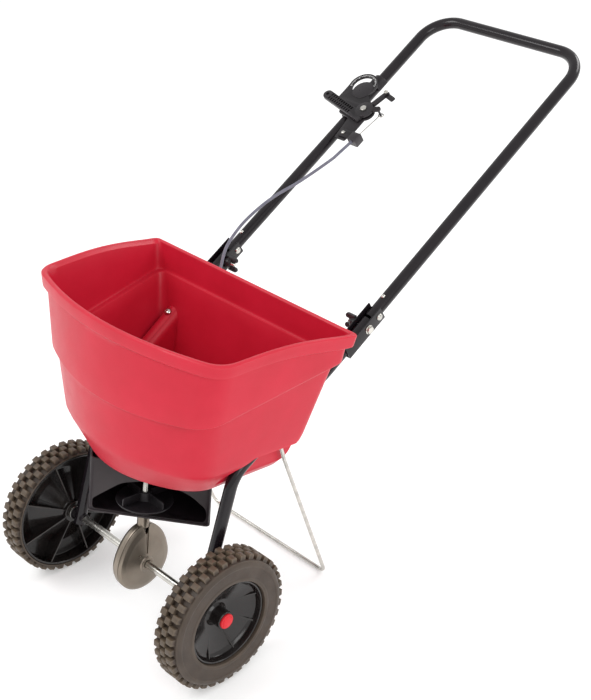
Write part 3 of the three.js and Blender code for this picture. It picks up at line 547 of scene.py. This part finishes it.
def outline(row, inset):
    """Bowed front, straight back and rounded corners, always with the same number of points."""
    front, corner, back, half, half_back, soft, soft_back = row
    w, wb, yb, yc, yf = half - inset, half_back - inset, back - inset, corner + inset, front + inset
    reach, side_reach, back_reach = soft / w, soft / (yb - yc), soft_back / (yb - yc)

    def bow(t):
        return t * w, yf + (yc - yf) * t * t

    def side(k, s):
        return s * (w + (wb - w) * k), yc + (yb - yc) * k

    points = [bow((-1 + reach) + (2 - 2 * reach) * i / 24) for i in range(24)]

    def bezier(p, c, q, n):
        for i in range(n):
            t = i / n
            points.append(tuple((1 - t) ** 2 * a + 2 * t * (1 - t) * b + t * t * d
                                for a, b, d in zip(p, c, q)))

    bezier(bow(1 - reach), bow(1), side(side_reach, 1), 12)
    bezier(side(side_reach, 1), side(0.5, 1), side(1 - back_reach, 1), 12)
    bezier(side(1 - back_reach, 1), (wb, yb), (wb - soft_back, yb), 10)
    bezier((wb - soft_back, yb), (0, yb), (-wb + soft_back, yb), 16)
    bezier((-wb + soft_back, yb), (-wb, yb), side(1 - back_reach, -1), 10)
    bezier(side(1 - back_reach, -1), side(0.5, -1), side(side_reach, -1), 12)
    bezier(side(side_reach, -1), bow(-1), bow(-1 + reach), 12)
    return points


def side_arch(x, y):
    """The rim rises gently in the middle of each side."""
    along = min(max((y + 58) / 250, 0), 1)
    return ARCH_RISE * math.sin(math.pi * along) ** 1.3 * min(1.0, max(0.0, (abs(x) - 120) / 80))


def level_ring(rows, z, inset):
    return [Vector((x, y, z)) for x, y in outline(row_at(rows, z), inset)]


def ledge_ring(rows, lift, inset):
    """A ring that follows the sloping ledge, lift above it."""
    n = len(outline(row_at(rows, LEDGE_Z), inset))
    heights = [LEDGE_Z + lift] * n
    for _ in range(3):
        spots = [outline(row_at(rows, z), inset)[i] for i, z in enumerate(heights)]
        heights = [LEDGE_Z + lift + y * LEDGE_SLOPE for _, y in spots]
    return [Vector((x, y, z)) for (x, y), z in zip(spots, heights)]


def between(low, high, t):
    return [a.lerp(b, t) for a, b in zip(low, high)]


def wall_rings(inset, floor_z, outside):
    """Rings up one face of the hopper's wall, from its floor to just under the collar."""
    rings = []
    edge = 4.0
    for back, rise in ((26, 0.0), (edge, 0.0), (edge * 0.4, 0.5), (0.8, 1.6), (0.0, 4.0)):
        rings.append(level_ring(LOW_ROWS, floor_z + rise, inset + back))
        for p in rings[-1]:
            p.z = floor_z + rise
    bevel = 232 + (0 if outside else 1)
    rings += [level_ring(LOW_ROWS, z, inset) for z in (205, 218, bevel - 3)]
    rings.append(level_ring(LOW_ROWS, bevel, inset + 0.5))
    rings += [level_ring(LOW_ROWS, z, inset) for z in (bevel + 3, 245, 258)]
    shift = 0.0 if outside else 4.0
    under = ledge_ring(LOW_ROWS, -2.0 + shift, inset)
    start = rings[-1]
    rings += [between(start, under, t) for t in (0.3, 0.6, 0.85)]
    rings += [under, ledge_ring(LOW_ROWS, -0.3 + shift, inset - 0.4)]
    rings += [ledge_ring(HIGH_ROWS, 0.3 + shift, inset + 1.2)]
    rings += [ledge_ring(HIGH_ROWS, 1.6 + shift, inset + 0.2)]
    over = ledge_ring(HIGH_ROWS, 4.0 + shift, inset)
    top = level_ring(HIGH_ROWS, 411, inset)
    rings.append(over)
    rings += [between(over, top, t) for t in (0.3, 0.6, 1.0)]
    return rings


def rim_rings():
    """Collar, rolled rim and the inner lip."""
    rings = [level_ring(HIGH_ROWS, 417, 0.0)]
    for z, inset in ((419.5, 1.6), (420.5, 0.2), (422.5, 0.0), (429, 0.0), (436.5, 0.0)):
        row = row_at(COLLAR_ROWS, max(z, COLLAR_START))
        rings.append([Vector((x, y, z)) for x, y in outline(row, inset)])
    for z, inset in ((438.8, 0.5), (440.3, 1.5), (441.0, 3.0), (441.0, 5.6), (440.4, 7.0), (438.8, 8.0)):
        rings.append([Vector((x, y, z)) for x, y in outline(row_at(COLLAR_ROWS, RIM_TOP), inset)])
    return rings


def ring_solid(rings):
    """A closed solid through rings of equal length, with flat ends."""
    n = len(rings[0])
    points = [p for ring in rings for p in ring]
    faces = []
    for j in range(len(rings) - 1):
        for i in range(n):
            a, b = j * n + i, j * n + (i + 1) % n
            faces.append([a, b, b + n, a + n])
    for base, ring in ((0, rings[0]), (len(points) - n, rings[-1])):
        faces += [[base + i for i in tri] for tri in tessellate_polygon([ring])]
    return points, faces


def arch_section(r, depth, n=16):
    points = [(-r, -depth), (r, -depth)]
    return points + [(r * math.cos(math.pi * i / n), r * math.sin(math.pi * i / n)) for i in range(n + 1)]


def trench_parts(side, r, depth=90):
    """Round-topped space round a frame tube, open downwards: leaning part, straight part and leg."""
    start = run_frame(side * TUBE_X) @ Matrix.Translation((0, LEAN_FROM, 0))
    section = arch_section(r, depth)
    leaning = moved(extruded(section, -260, 5, 0.01), start @ Matrix.Rotation(-side * LEAN, 4, "Z"))
    straight = moved(extruded(section, -5.5, 130, 0.01), start)
    path = [(side * x, y, z) for x, y, z in bent(FRAME_PATH, 60, 12)]
    return [leaning, straight, moved(sweep(path, r, 28), MACHINE)]


def hopper_body():
    """The space inside the hopper's outer skin, where the ridges over the frame tubes may be."""
    rings = wall_rings(1.4, HOPPER_Z + 1.4, True)
    return moved(ring_solid(rings), MACHINE)


def hopper_ridge(side):
    """The ridge that stands up inside the hopper over one frame tube."""
    parts = trench_parts(side, TRENCH + WALL)
    ridge = tool_object(parts[0])
    combine(ridge, parts[1:], "UNION")
    return combine(ridge, [hopper_body()], "INTERSECT")


def make_hopper():
    outer = wall_rings(0.0, HOPPER_Z, True)
    inner = wall_rings(WALL, HOPPER_Z + WALL, False)
    inner += [level_ring(HIGH_ROWS, 425, WALL), level_ring(HIGH_ROWS, 435, WALL)]
    rings = outer + rim_rings() + inner[::-1]
    for ring in rings:
        for p in ring:
            over = min(max((p.z - (LEDGE_Z + p.y * LEDGE_SLOPE)) / 60, 0.0), 1.0)
            p.z += side_arch(p.x, p.y) * over
    hopper = make("hopper_shell", ring_solid(rings), MACHINE, RED, "frame", ["hopper"], 30)
    combine(hopper, [hopper_ridge(-1), hopper_ridge(1)], "UNION", 30)
    cutters = [part for side in (-1, 1) for part in trench_parts(side, TRENCH)]
    for x, y, r in FLOOR_HOLES:
        cutters.append(moved(shifted(button(r, HOPPER_Z - 4, HOPPER_Z + 9, 0.2), x, y), MACHINE))
    return combine(hopper, cutters, "DIFFERENCE", 30)


make_hopper()

# ---------------------------------------------------------------- frame, handle and stand
def right_left():
    """Name, side sign and mirror for both sides of the machine."""
    return (("right", 1, Matrix()), ("left", -1, Matrix.Scale(-1, 4, (1, 0, 0))))


def make_frame():
    for side, _, flip in right_left():
        tube = pipe(bent(FRAME_PATH, 60, 14), TUBE_R, TUBE_R - 1.4, 32)
        make(f"frame_tube_{side}_coated", tube, MACHINE @ flip, GLOSS_BLACK, "frame",
             [f"frame_tube_{side}"])
    corners = [(-TUBE_X, 168, 0), (-TUBE_X, 771, 0), (TUBE_X, 771, 0), (TUBE_X, 168, 0)]
    make("handle_coated", pipe(bent(corners, 55, 18), TUBE_R, TUBE_R - 1.4, 32), MIDDLE_RUN, GLOSS_BLACK,
         "frame", ["handle"])


def make_stand():
    x = tube_x(-71)
    side = [(x, *on_run(-71, -4)), (x, *on_run(-71, -26)), (x - 2, 148, 208), (141, 301, -68)]
    path = [(-px, y, z) for px, y, z in side] + side[::-1]
    make("stand_wire", sweep(bent(path, 16, 10), 3.2, 20), MACHINE, ZINC, "frame", ["stand"])


make_frame()
make_stand()


# ---------------------------------------------------------------- joints between frame and handle
CHANNEL_ENDS = (97, 186)            # along the tube, like the next three
KNOB_AT, RIVET_AT, SMALL_RIVET_AT = 150, 177, 207
WING_TURN = 35                      # degrees


def channel_shape():
    """A folded U round the tube, open on its upper side."""
    section = softened([(-12.6, 13), (-12.6, -12.8), (12.6, -12.8), (12.6, 13), (10.6, 13), (10.6, -10.6),
                        (-10.6, -10.6), (-10.6, 13)], 3.0, 4)
    return extruded(section, *CHANNEL_ENDS, 0.35)


def wing_shape():
    """Two rounded fingers on a round hub, made with the knob's axis along Z and its free end up."""
    hub = lathe(softened([(3.2, 13.2), (9.5, 13.2), (9.5, 19), (7.6, 24), (3.2, 24)], 1.4), 40)
    fingers = []
    for s in (-8.3, 8.3):
        tip = disc_outline(s, 32.6, 4.2, 14, 0, 180)
        fingers.append(extruded([(s - 4.2, 17), (s + 4.2, 17)] + tip, -3.4, 3.4, 1.9))
    return joined(hub, *fingers)


def bolt_end(r, z0, z1):
    """A bolt end with fine grooves for its thread and a chamfered tip."""
    profile = [(0, z0)]
    turns = int((z1 - z0 - 1) / 0.8)
    for i in range(turns):
        profile += [(r, z0 + i * 0.8 + 0.2), (r - 0.35, z0 + i * 0.8 + 0.6)]
    profile += [(r, z1 - 0.8), (r - 0.9, z1), (0, z1)]
    return lathe(profile, 24)


def make_joint(side, sign, flip):
    place = run_frame(sign * TUBE_X) @ flip
    knob_at = Matrix.Translation((0, KNOB_AT, 0)) @ Matrix.Rotation(math.radians(90), 4, "Y")
    inward = Matrix.Translation((0, KNOB_AT, 0)) @ Matrix.Rotation(math.radians(-90), 4, "Y")
    make(f"channel_{side}", channel_shape(), place, GLOSS_BLACK, "frame",
         [f"joint_channel_{side}"])
    washer = button(7.6, 12.7, 13.5, 0.3, 28)
    head = moved(joined(washer, hex_head(6.6, 13.5, 17.5)), knob_at)
    bolt = joined(head, moved(bolt_end(3.1, 9, 31), inward))
    make(f"knob_bolt_{side}_plated", bolt, place, ZINC, "frame", [f"knob_bolt_{side}"])
    wing = moved(wing_shape(), inward @ Matrix.Rotation(math.radians(WING_TURN), 4, "Z"))
    make(f"wing_nut_{side}", wing, place, SATIN_BLACK, f"wing_knob_{side}",
         [f"wing_knob_{side}"])
    dome = [(5.8 * math.cos(math.radians(a)), 12.8 + 3.2 * math.sin(math.radians(a)))
            for a in range(0, 91, 15)]
    rivet = lathe([(0, 9), (2.9, 9), (2.9, 12.7)] + dome, 28)
    rivets = joined(*[shifted(turned(rivet, a, "Y"), 0, RIVET_AT, 0) for a in (90, -90)])
    button_rivet = lathe([(0, 9), (3.0, 9), (3.0, 9.6)] + [(r * 0.62, z - 2.6) for r, z in dome[1:]], 24)
    rivets = joined(rivets, shifted(button_rivet, 0, SMALL_RIVET_AT, 0))
    make(f"rivet_{side}", rivets, place, ZINC, "frame", [f"joint_rivet_{side}"])
    crown = TRENCH + WALL + 0.4
    shank = [(0, crown - 6), (3.1, crown - 6), (3.1, crown)]
    cap = [(6.6, crown), (6.4, crown + 1.4), (4.6, crown + 3.4), (2.2, crown + 4.3)]
    head = lathe(shank + softened(cap, 0.8) + [(0, crown + 4.4)], 32)
    bolt = joined(head, turned(hex_head(5.6, 10.2, 15), 180, "X"), turned(bolt_end(3.0, 12, 17), 180, "X"))
    spot = Matrix.Translation((tube_x(HOPPER_BOLT_AT) - TUBE_X, HOPPER_BOLT_AT, 0))
    make(f"hopper_bolt_{side}_plated", moved(bolt, spot), place, ZINC, "frame",
         [f"hopper_bolt_{side}"])


for joint_side in right_left():
    make_joint(*joint_side)

# ---------------------------------------------------------------- wheels and axle
PITCHES = 38
TREAD_BASE = 106.0
LUG_SHARE = 0.54                    # of the pitch, the rest is the gap
RIBS = 8
LUG_COLUMNS = [(179.6, 191.8, 0.0), (193.4, 203.8, 0.5), (205.4, 217.6, 0.0)]
WHEEL_PROFILE = [
    (6.6, 172), (18.6, 172), (19, 179), (26, 182), (62, 200.5), (72, 204), (99.2, 201), (99.2, 178),
    (103.2, 178), (103.2, 206.2), (70.9, 216.4), (70.9, 219), (67.6, 219.2), (65.6, 208.5), (61, 205),
    (26, 190), (20, 188.5), (15.2, 193), (14.6, 211.8), (13.4, 213), (6.6, 213)]
TYRE_PROFILE = [
    (71.2, 216.8), (103.6, 206.8), (103.6, 176.8), (106, 177), (TREAD_BASE, 179.5), (TREAD_BASE, 217.5),
    (105.2, 221), (101, 223.2), (97, 223.9), (95, 223.1), (79, 223.1), (77, 223.9), (72, 223.6)]


def lug(x0, x1, angle, arc):
    """One block of the tread, sunk a little into the tyre and rounded at its top edges."""
    levels = [(TREAD_BASE - 1.2, -0.6), (113.0, 0.0), (113.9, 0.3), (114.25, 0.9)]
    points = []
    for r, inset in levels:
        half = arc / 2 - inset / r
        left = [(x0 + inset, angle + half * k) for k in (-1, 0, 1)]
        right = [(x1 - inset, angle + half * k) for k in (1, 0, -1)]
        points += [Vector((x, -r * math.sin(a), r * math.cos(a))) for x, a in left + right]
    faces = [[0, 1, 4, 5], [1, 2, 3, 4]]
    top = 6 * (len(levels) - 1)
    faces += [[i + top for i in f] for f in faces[:2]]
    for j in range(len(levels) - 1):
        for i in range(6):
            a, b = j * 6 + i, j * 6 + (i + 1) % 6
            faces.append([a, b, b + 6, a + 6])
    return points, faces


def tyre_shapes():
    carcass = lathe(softened(TYRE_PROFILE, 1.2, 3), 152, "X")
    pitch = 2 * math.pi / PITCHES
    lugs = [lug(x0, x1, (i + shift) * pitch, pitch * LUG_SHARE)
            for i in range(PITCHES) for x0, x1, shift in LUG_COLUMNS]
    return carcass, joined(*lugs)


def wheel_rib(degrees):
    """A thin wall in the hollow back of the wheel, from the hub to the rim."""
    section = [(18, 173.5), (98.9, 180), (99.6, 203), (66, 211.5), (26, 183.8), (18, 180.5)]
    wall = plate(section, -1.2, 1.2, 0.3)
    return turned(crosswise(wall), degrees, "X")


def wheel_shape():
    dish = lathe(softened(WHEEL_PROFILE, 1.6, 4), 112, "X")
    return dish, [wheel_rib(i * 360 / RIBS + 22) for i in range(RIBS)]


def cap_shape():
    profile = [(0, 213.2), (12.5, 213.2), (12.5, 215.0), (11.6, 216.2), (9.4, 216.2), (8.6, 217.2),
               (6, 217.8), (0, 218)]
    return lathe(profile, 40, "X")


def make_wheel(side, _, flip):
    body = "axle" if side == "right" else "left_wheel"
    place = MACHINE @ flip
    dish, ribs = wheel_shape()
    wheel = make(f"wheel_{side}_moulding", dish, place, WHEEL_BLACK, body,
                 [f"wheel_{side}"])
    combine(wheel, [moved(rib, place) for rib in ribs], "UNION")
    carcass, lugs = tyre_shapes()
    tyre = make(f"tyre_{side}_tread", carcass, place, RUBBER, body, [f"tyre_{side}"])
    combine(tyre, [moved(lugs, place)], "UNION", 34)
    make(f"hub_cap_{side}_red", cap_shape(), place, CAP_RED, body, [f"hub_cap_{side}"])


for wheel_side in right_left():
    make_wheel(*wheel_side)


def make_axle():
    rod = lathe([(0, -211), (5.4, -211), (6.35, -210), (6.35, 210), (5.4, 211), (0, 211)], 40, "X")
    make("axle_rod", rod, MACHINE, ZINC, "axle", ["axle"])
    for side, _, flip in right_left():
        ring = lathe(softened([(6.65, 168.6), (12, 168.6), (12, 170.6), (6.65, 170.6)], 0.4), 40, "X")
        make(f"washer_{side}_plated", ring, MACHINE @ flip, ZINC, "frame", [f"washer_{side}"])
        section = [(6.65, 142), (8, 142), (8, 166), (12, 166), (12, 168.2), (6.65, 168.2)]
        bush = lathe(softened(section, 0.5), 40, "X")
        make(f"bearing_{side}", bush, MACHINE @ flip, SATIN_BLACK, "frame",
             [f"axle_bearing_{side}"])


make_axle()

# ---------------------------------------------------------------- gearbox
CASE_R = 51.0
CASE_RISE = 18.0                    # how far the top of the case is drawn up
RISE_START = 13.0


def drawn_up(shape):
    """The upper half of the case is drawn out towards the impeller."""
    points = []
    for p in shape[0]:
        k = max(0.0, p[2] - RISE_START) / (CASE_R - RISE_START)
        points.append(Vector((p[0], p[1], p[2] + CASE_RISE * k ** 1.4)))
    return points, shape[1]


def dome_frame():
    """Origin on the dome above the hub, X across, Y up the dome's slope, Z out of it."""
    up = Vector((-3.6, 0, 38)).normalized()
    across = Vector((0, 1, 0))
    basis = Matrix((across, up, across.cross(up))).transposed().to_4x4()
    return Matrix.Translation((21.6, 0, 13)) @ basis


def make_gearbox():
    left = drawn_up(lathe(softened([
        (6.65, -9.5), (12, -9.5), (12, -8.6), (40, -8.6), (48, -5), (50.6, 1), (50.6, 7), (51, 7.6),
        (51, 10.4), (48.4, 10.4), (48.4, 1), (46, -3.6), (40, -6.2), (6.65, -6.2)], 1.0, 3), 96, "X"))
    neck = lathe(softened([(5.05, 64), (10, 64), (10, 84.2), (8.8, 85.7), (5.05, 85.7)], 0.7), 40)
    shell = make("gearbox_left_case", left, MACHINE, PEWTER, "frame", ["gearbox_shell_left"])
    combine(shell, [moved(shifted(neck, SHAFT_X), MACHINE)], "UNION")
    right = drawn_up(lathe(softened([
        (6.65, 17.6), (6.65, 24), (12, 24), (13.5, 21.4), (40, 18), (47.2, 15.8), (50.2, 13.6), (51, 13.2),
        (51, 11.9), (48.4, 11.9), (46, 13.4), (40, 15.6), (14, 19.2)], 1.0, 3), 96, "X"))
    dome = make("gearbox_right_case", right, MACHINE, PEWTER, "frame", ["gearbox_shell_right"])
    wedge = plate(softened([(-1.6, 5), (1.6, 5), (5.2, 64), (-5.2, 64)], 1.2), -1.3, 8, 0.3)
    collar = shifted(button(10.6, 40, 90, 0.2), SHAFT_X)
    combine(dome, [moved(wedge, MACHINE @ dome_frame()), moved(collar, MACHINE)])


make_gearbox()


# ---------------------------------------------------------------- shroud, impeller and shaft
SHROUD_PLAN = [(-52, -66.5), (95.5, 59), (28, 122), (-92, 122), (-92, -34)]
SHROUD_WINDOW = [(6, 5), (188, 5), (188, 30), (163, 50), (145, 58), (110, 66), (85, 66), (51, 58), (35, 46),
                 (13, 29), (6, 23)]
LIP_Z, SHROUD_TOP, SHROUD_WALL = 86.0, 181.8, 3.0


def make_shroud():
    plan = softened(SHROUD_PLAN, 7, 4)
    shell = plate(plan, LIP_Z, SHROUD_TOP, 0.8)
    shroud = make("shroud_moulding", shell, MACHINE, GREY_BLACK, "frame", ["shroud"])
    lip = plate(inset_loop(counter_clockwise(plan), -1.6), LIP_Z, LIP_Z + 3.4, 0.9)
    combine(shroud, [moved(lip, MACHINE)], "UNION")
    inside = inset_loop(counter_clockwise(plan), SHROUD_WALL)
    hollow = plate(inside, LIP_Z + SHROUD_WALL, SHROUD_TOP + 5, 0.6)
    (left_x, left_y), (right_x, right_y) = SHROUD_PLAN[:2]
    along = math.atan2(right_y - left_y, right_x - left_x)
    place = Matrix.Translation((left_x, left_y, LIP_Z)) @ Matrix.Rotation(along, 4, "Z")
    window = moved(extruded(softened(SHROUD_WINDOW, 9, 4), -12, 12, 0.2), place)
    shaft = shifted(button(8.3, LIP_Z - 5, LIP_Z + 10, 0.2), SHAFT_X)
    combine(shroud, [moved(s, MACHINE) for s in (hollow, window, shaft)])


def make_impeller():
    place = MACHINE @ Matrix.Translation((SHAFT_X, 0, 0))
    section = [(5.05, 106), (10, 106), (10.4, 111.8), (46, 112), (46, 114.4), (12, 114.8), (10, 128),
               (5.05, 128)]
    disc = lathe(softened(section, 0.9, 3), 72)
    impeller = make("impeller_moulding", disc, place, SATIN_BLACK, "impeller",
                    ["impeller"])
    side = [(8, 113.5), (44.6, 113.5), (44.6, 126.5), (40, 128), (8, 128)]
    upright = moved(plate(softened(side, 1.5), -1.2, 1.2, 0.4), UPRIGHT)
    combine(impeller, [moved(turned(upright, i * 90), place) for i in range(4)], "UNION")
    shaft = lathe([(0, 16), (4.2, 16), (4.75, 16.6), (4.75, 221), (4.0, 222), (0, 222)], 32)
    make("impeller_shaft_rod", shaft, place, ZINC, "impeller", ["impeller_shaft"])
    finger = sweep([(-30, 0, 206), (-28.5, 0, 206), (28.5, 0, 206), (30, 0, 206)], 2.0, 16)
    make("agitator_pin", finger, place, ZINC, "impeller", ["agitator"])


make_shroud()
make_impeller()

# ---------------------------------------------------------------- flow control, in the left run's frame
INBOARD = LEFT_RUN
AT_PIVOT = Matrix.Translation((*PIVOT, 0))
DIAL = (-12.0, 567.0)
CAM = (-4.0, 557.0)
DIAL_R = 28
LEVER_SLANT = 13.2                  # degrees
CRANK, CRANK_ANGLE = 26, 25         # pivot to pin, and degrees from the lever's frame
CLAMP_SCREW = (33, 458)
MARKS, MARK_STEP = 29, 6.6          # lines round the dial, and degrees between them


def stadium(x0, x1, y, r, n=14):
    return disc_outline(x1, y, r, n, -90, 90) + disc_outline(x0, y, r, n, 90, 270)


def make_control_body():
    edge = [(20, 446), (42, 446), (47, 470)] + disc_outline(*PIVOT, 17, 22, -60, 72)
    edge += disc_outline(*DIAL, DIAL_R, 48, -32, 180) + [(-40, 524), (-20, 518), (-14, 498), (14, 492)]
    crescent = disc_outline(*DIAL, 20.5, 40, 26, 231) + disc_outline(*CAM, 21, 28, 195, 62)
    holes = [crescent, disc_outline(*PIVOT, 3.4, 20), disc_outline(*CLAMP_SCREW, 2.1, 12)]
    body = make("control_plate", plate(softened(edge, 2.0, 2), 12, 16.1, 0.9, holes), INBOARD, SATIN_BLACK,
                "frame", ["control_body"])
    saddle = disc_outline(0, 0, 14.5, 24, 2, 178) + disc_outline(0, 0, 10.35, 24, 2, 178)[::-1]
    cradles = extruded(saddle, 500, 546, 0.7), extruded(saddle, 576, 600, 0.7)
    ears = block(-23, -10.6, 512, 534, 0.4, 5, 0.8), block(10.6, 23, 512, 534, 0.4, 5, 0.8)
    arc = disc_outline(*DIAL, DIAL_R, 40, -20, 200) + disc_outline(*DIAL, DIAL_R - 2, 40, -20, 200)[::-1]
    rim = plate(arc, 15, 16.8, 0.4)
    cam = plate(disc_outline(*CAM, 19.6, 44), 15, 16.9, 0.7)
    combine(body, [moved(s, INBOARD) for s in (*cradles, *ears, rim, cam)], "UNION")


def make_dial_marks():
    """Short printed lines round the dial, every fourth one longer."""
    marks = []
    for i in range(MARKS):
        inner = 21.4 if i % 4 == 0 else 23.0
        tick = block(inner, 25.2, -0.45, 0.45, 15.9, 16.35, 0.1)
        marks.append(shifted(turned(tick, 15 + i * MARK_STEP), *DIAL))
    make("dial_marks", joined(*marks), INBOARD, WHITE_INK, "frame")


def make_strap():
    band = disc_outline(0, 0, 13, 24, 182, 358) + disc_outline(0, 0, 10.35, 24, 182, 358)[::-1]
    strap = make("control_strap_coated", extruded(band, 514, 532, 0.4), INBOARD, GLOSS_BLACK, "frame",
                 ["control_strap"])
    ears = block(-23, -11.4, 514, 532, -3.5, -0.4, 0.5), block(11.4, 23, 514, 532, -3.5, -0.4, 0.5)
    combine(strap, [moved(s, INBOARD) for s in ears], "UNION")


def pan_head(r, z0, z1):
    """A domed screw head."""
    rise = z1 - z0
    dome = [(r * math.cos(math.radians(a)), z0 + 0.6 + (rise - 0.6) * math.sin(math.radians(a)))
            for a in range(0, 90, 15)]
    return lathe([(0, z0), (r, z0)] + dome + [(0, z1)], 28)


def make_small_screws():
    for name, x in (("outer", -18.5), ("inner", 18.5)):
        nut = turned(hex_head(3.8, 3.6, 6.6), 180, "X")
        screw = joined(button(2.1, -3.8, 6, 0.2, 16), pan_head(3.8, 5.2, 8), nut)
        make(f"control_screw_{name}_plated", shifted(screw, x, 523), INBOARD, ZINC, "frame",
             [f"control_screw_{name}"])
    screw = joined(button(1.8, 9, 20, 0.2, 16), pan_head(3.6, 19.9, 22.4))
    make("clamp_screw_plated", shifted(screw, *CLAMP_SCREW), INBOARD, ZINC, "frame",
         ["cable_clamp_screw"])
    nut = turned(hex_head(5.8, -11.7, -7.5), 180, "X")
    bolt = joined(button(3.1, 11, 26, 0.2, 20), hex_head(6.2, 25.3, 29), nut)
    make("pivot_bolt_plated", bolt, INBOARD @ AT_PIVOT, ZINC, "frame", ["lever_pivot_bolt"])


def make_lever():
    place = INBOARD @ AT_PIVOT
    arm_place = place @ Matrix.Rotation(-math.radians(LEVER_SLANT), 4, "Z")
    bar = disc_outline(-93, -15.4, 9.2, 18, 90, 270) + [(8, -24.6), (8, -6.2)]
    lever = make("flow_lever", plate(bar, 17, 24.8, 1.2), arm_place, SATIN_BLACK, "lever",
                 ["control_lever"])
    phase = math.radians(CRANK_ANGLE)
    crank = turned(plate(stadium(0, CRANK, 0, 5), 20, 24.6, 0.8), CRANK_ANGLE)
    pin = shifted(button(2, 3, 21.5, 0.4, 20), CRANK * math.cos(phase), CRANK * math.sin(phase))
    combine(lever, [moved(s, place) for s in (button(17, 20, 25, 1.2, 48), crank, pin)], "UNION")
    pockets = [block(x, x + 3.4, y - 2.7, y + 2.7, 21.5, 30, 0.4)
               for x in range(-84, -22, 6) for y in (-19.4, -11.4)]
    dimple = shifted(button(3.2, 22.5, 30, 0.3, 24), -93, -15.4)
    for cut in (*pockets, dimple):
        combine(lever, [moved(cut, arm_place)])
    under_cut, bore = button(14.5, 10, 20, 0.2, 40), button(3.35, 5, 30, 0.1, 20)
    combine(lever, [moved(under_cut, place), moved(bore, place)])


def make_rate_stop():
    place = INBOARD @ AT_PIVOT @ Matrix.Rotation(math.radians(75), 4, "Z")
    ring = plate(disc_outline(0, 0, 11, 40), 17, 19.4, 0.5, [disc_outline(0, 0, 3.4, 20)])
    stop = make("rate_stop_moulding", ring, place, SATIN_BLACK, "rate_stop", ["rate_stop"])
    arm = plate(softened([(8, -5), (50, -4), (56, -1), (56, 4), (14, 5), (8, 5)], 1.6), 17.1, 19.5, 0.6)
    rise = plate(stadium(20, 50, 0, 3.8), 18, 23.6, 1.0)
    tab = plate(softened([(44, -22), (54, -22), (54, -1), (44, -1)], 3), 17, 19.8, 0.8)
    combine(stop, [moved(s, place) for s in (arm, rise, tab)], "UNION")
    nut = shifted(joined(hex_head(4.4, 23.2, 26.4), button(1.9, 26, 28.4, 0.4, 16)), 50, 0)
    make("rate_stop_nut", nut, place, ZINC, "rate_stop")


make_control_body()
make_dial_marks()
make_strap()
make_small_screws()
make_lever()
make_rate_stop()

# ---------------------------------------------------------------- control cable
PIN_IN = PIVOT[0] + CRANK * math.cos(math.radians(CRANK_ANGLE))
PIN_ALONG = PIVOT[1] + CRANK * math.sin(math.radians(CRANK_ANGLE))
HOUSING_END = (PIN_IN, 462.0, 16.0)
WIRE_LINE = LEFT_RUN @ Matrix.Translation(HOUSING_END) @ Matrix.Rotation(-WIRE_SLOPE, 4, "X")
WIRE_Z = 185.9


def make_upper_wire():
    reach = (PIN_ALONG - HOUSING_END[1]) / math.cos(WIRE_SLOPE)
    loop = [(1.1 - 5.0 * math.cos(math.radians(a)), reach + 4.0 * math.sin(math.radians(a)), 0)
            for a in range(-70, 281, 14)]
    path = [(0, -30, 0), (0, reach - 12, 0), (-0.4, reach - 8, 0)] + loop
    make("upper_wire_hook", sweep(path, 1.0, 14), WIRE_LINE, ZINC, "upper_wire", ["upper_wire"])


def make_clamp():
    loop = softened([(25, 450), (60, 450), (60, 466), (25, 466)], 3)
    tab = plate(loop, 16.8, 19.8, 0.7, [disc_outline(*CLAMP_SCREW, 2.1, 12)])
    clamp = make("cable_clamp_moulding", tab, INBOARD, SATIN_BLACK, "frame",
                 ["cable_clamp"])
    combine(clamp, [moved(block(53, 71, 447, 465, 6, 24, 1.6), INBOARD)], "UNION")
    combine(clamp, [moved(turned(button(3.0, -40, 40, 0.1, 24), -90, "X"), WIRE_LINE)])


def housing_path():
    def upper(back):
        along = HOUSING_END[1] - back * math.cos(WIRE_SLOPE)
        y, z = on_run(along, HOUSING_END[2] + back * math.sin(WIRE_SLOPE))
        return PIN_IN - TUBE_X, y, z

    beside = [(x, *on_run(along, above)) for x, along, above in (
        (-125, 330, 27), (-143, 285, 30), (-148, 245, 35), (-149, 200, 37), (-146, 158, 31),
        (-140, 132, 19))]
    down = [(-132, 246, 375), (-112, 238, 325), (-82, 240, 275), (-48, 252, 230), (-16, 268, 197),
            (2, 270, 187)]
    lower = [(SHAFT_X, y, WIRE_Z) for y in (256, 250, 228, 204)]
    return smooth_path([upper(back) for back in (0, 28, 56, 62)] + beside + down + lower, 7)


def make_conduit():
    path = housing_path()
    make("cable_sheath_tube", pipe(path, 2.7, 1.5, 16), MACHINE, CABLE, "frame",
         ["cable_conduit"])


make_upper_wire()
make_clamp()
make_conduit()

# ---------------------------------------------------------------- CAD nodes that stay as they are
KEPT = {
    "base_plate": SATIN_BLACK, "shutoff_gate": ZINC, "gate_wire": ZINC, "drive_pin": ZINC,
    "shaft_bushing": NYLON, "shroud_bushing": NYLON, "ring_gear": NYLON, "pinion": NYLON}
for node, material in KEPT.items():
    for material_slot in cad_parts[node].material_slots:
        material_slot.material = material
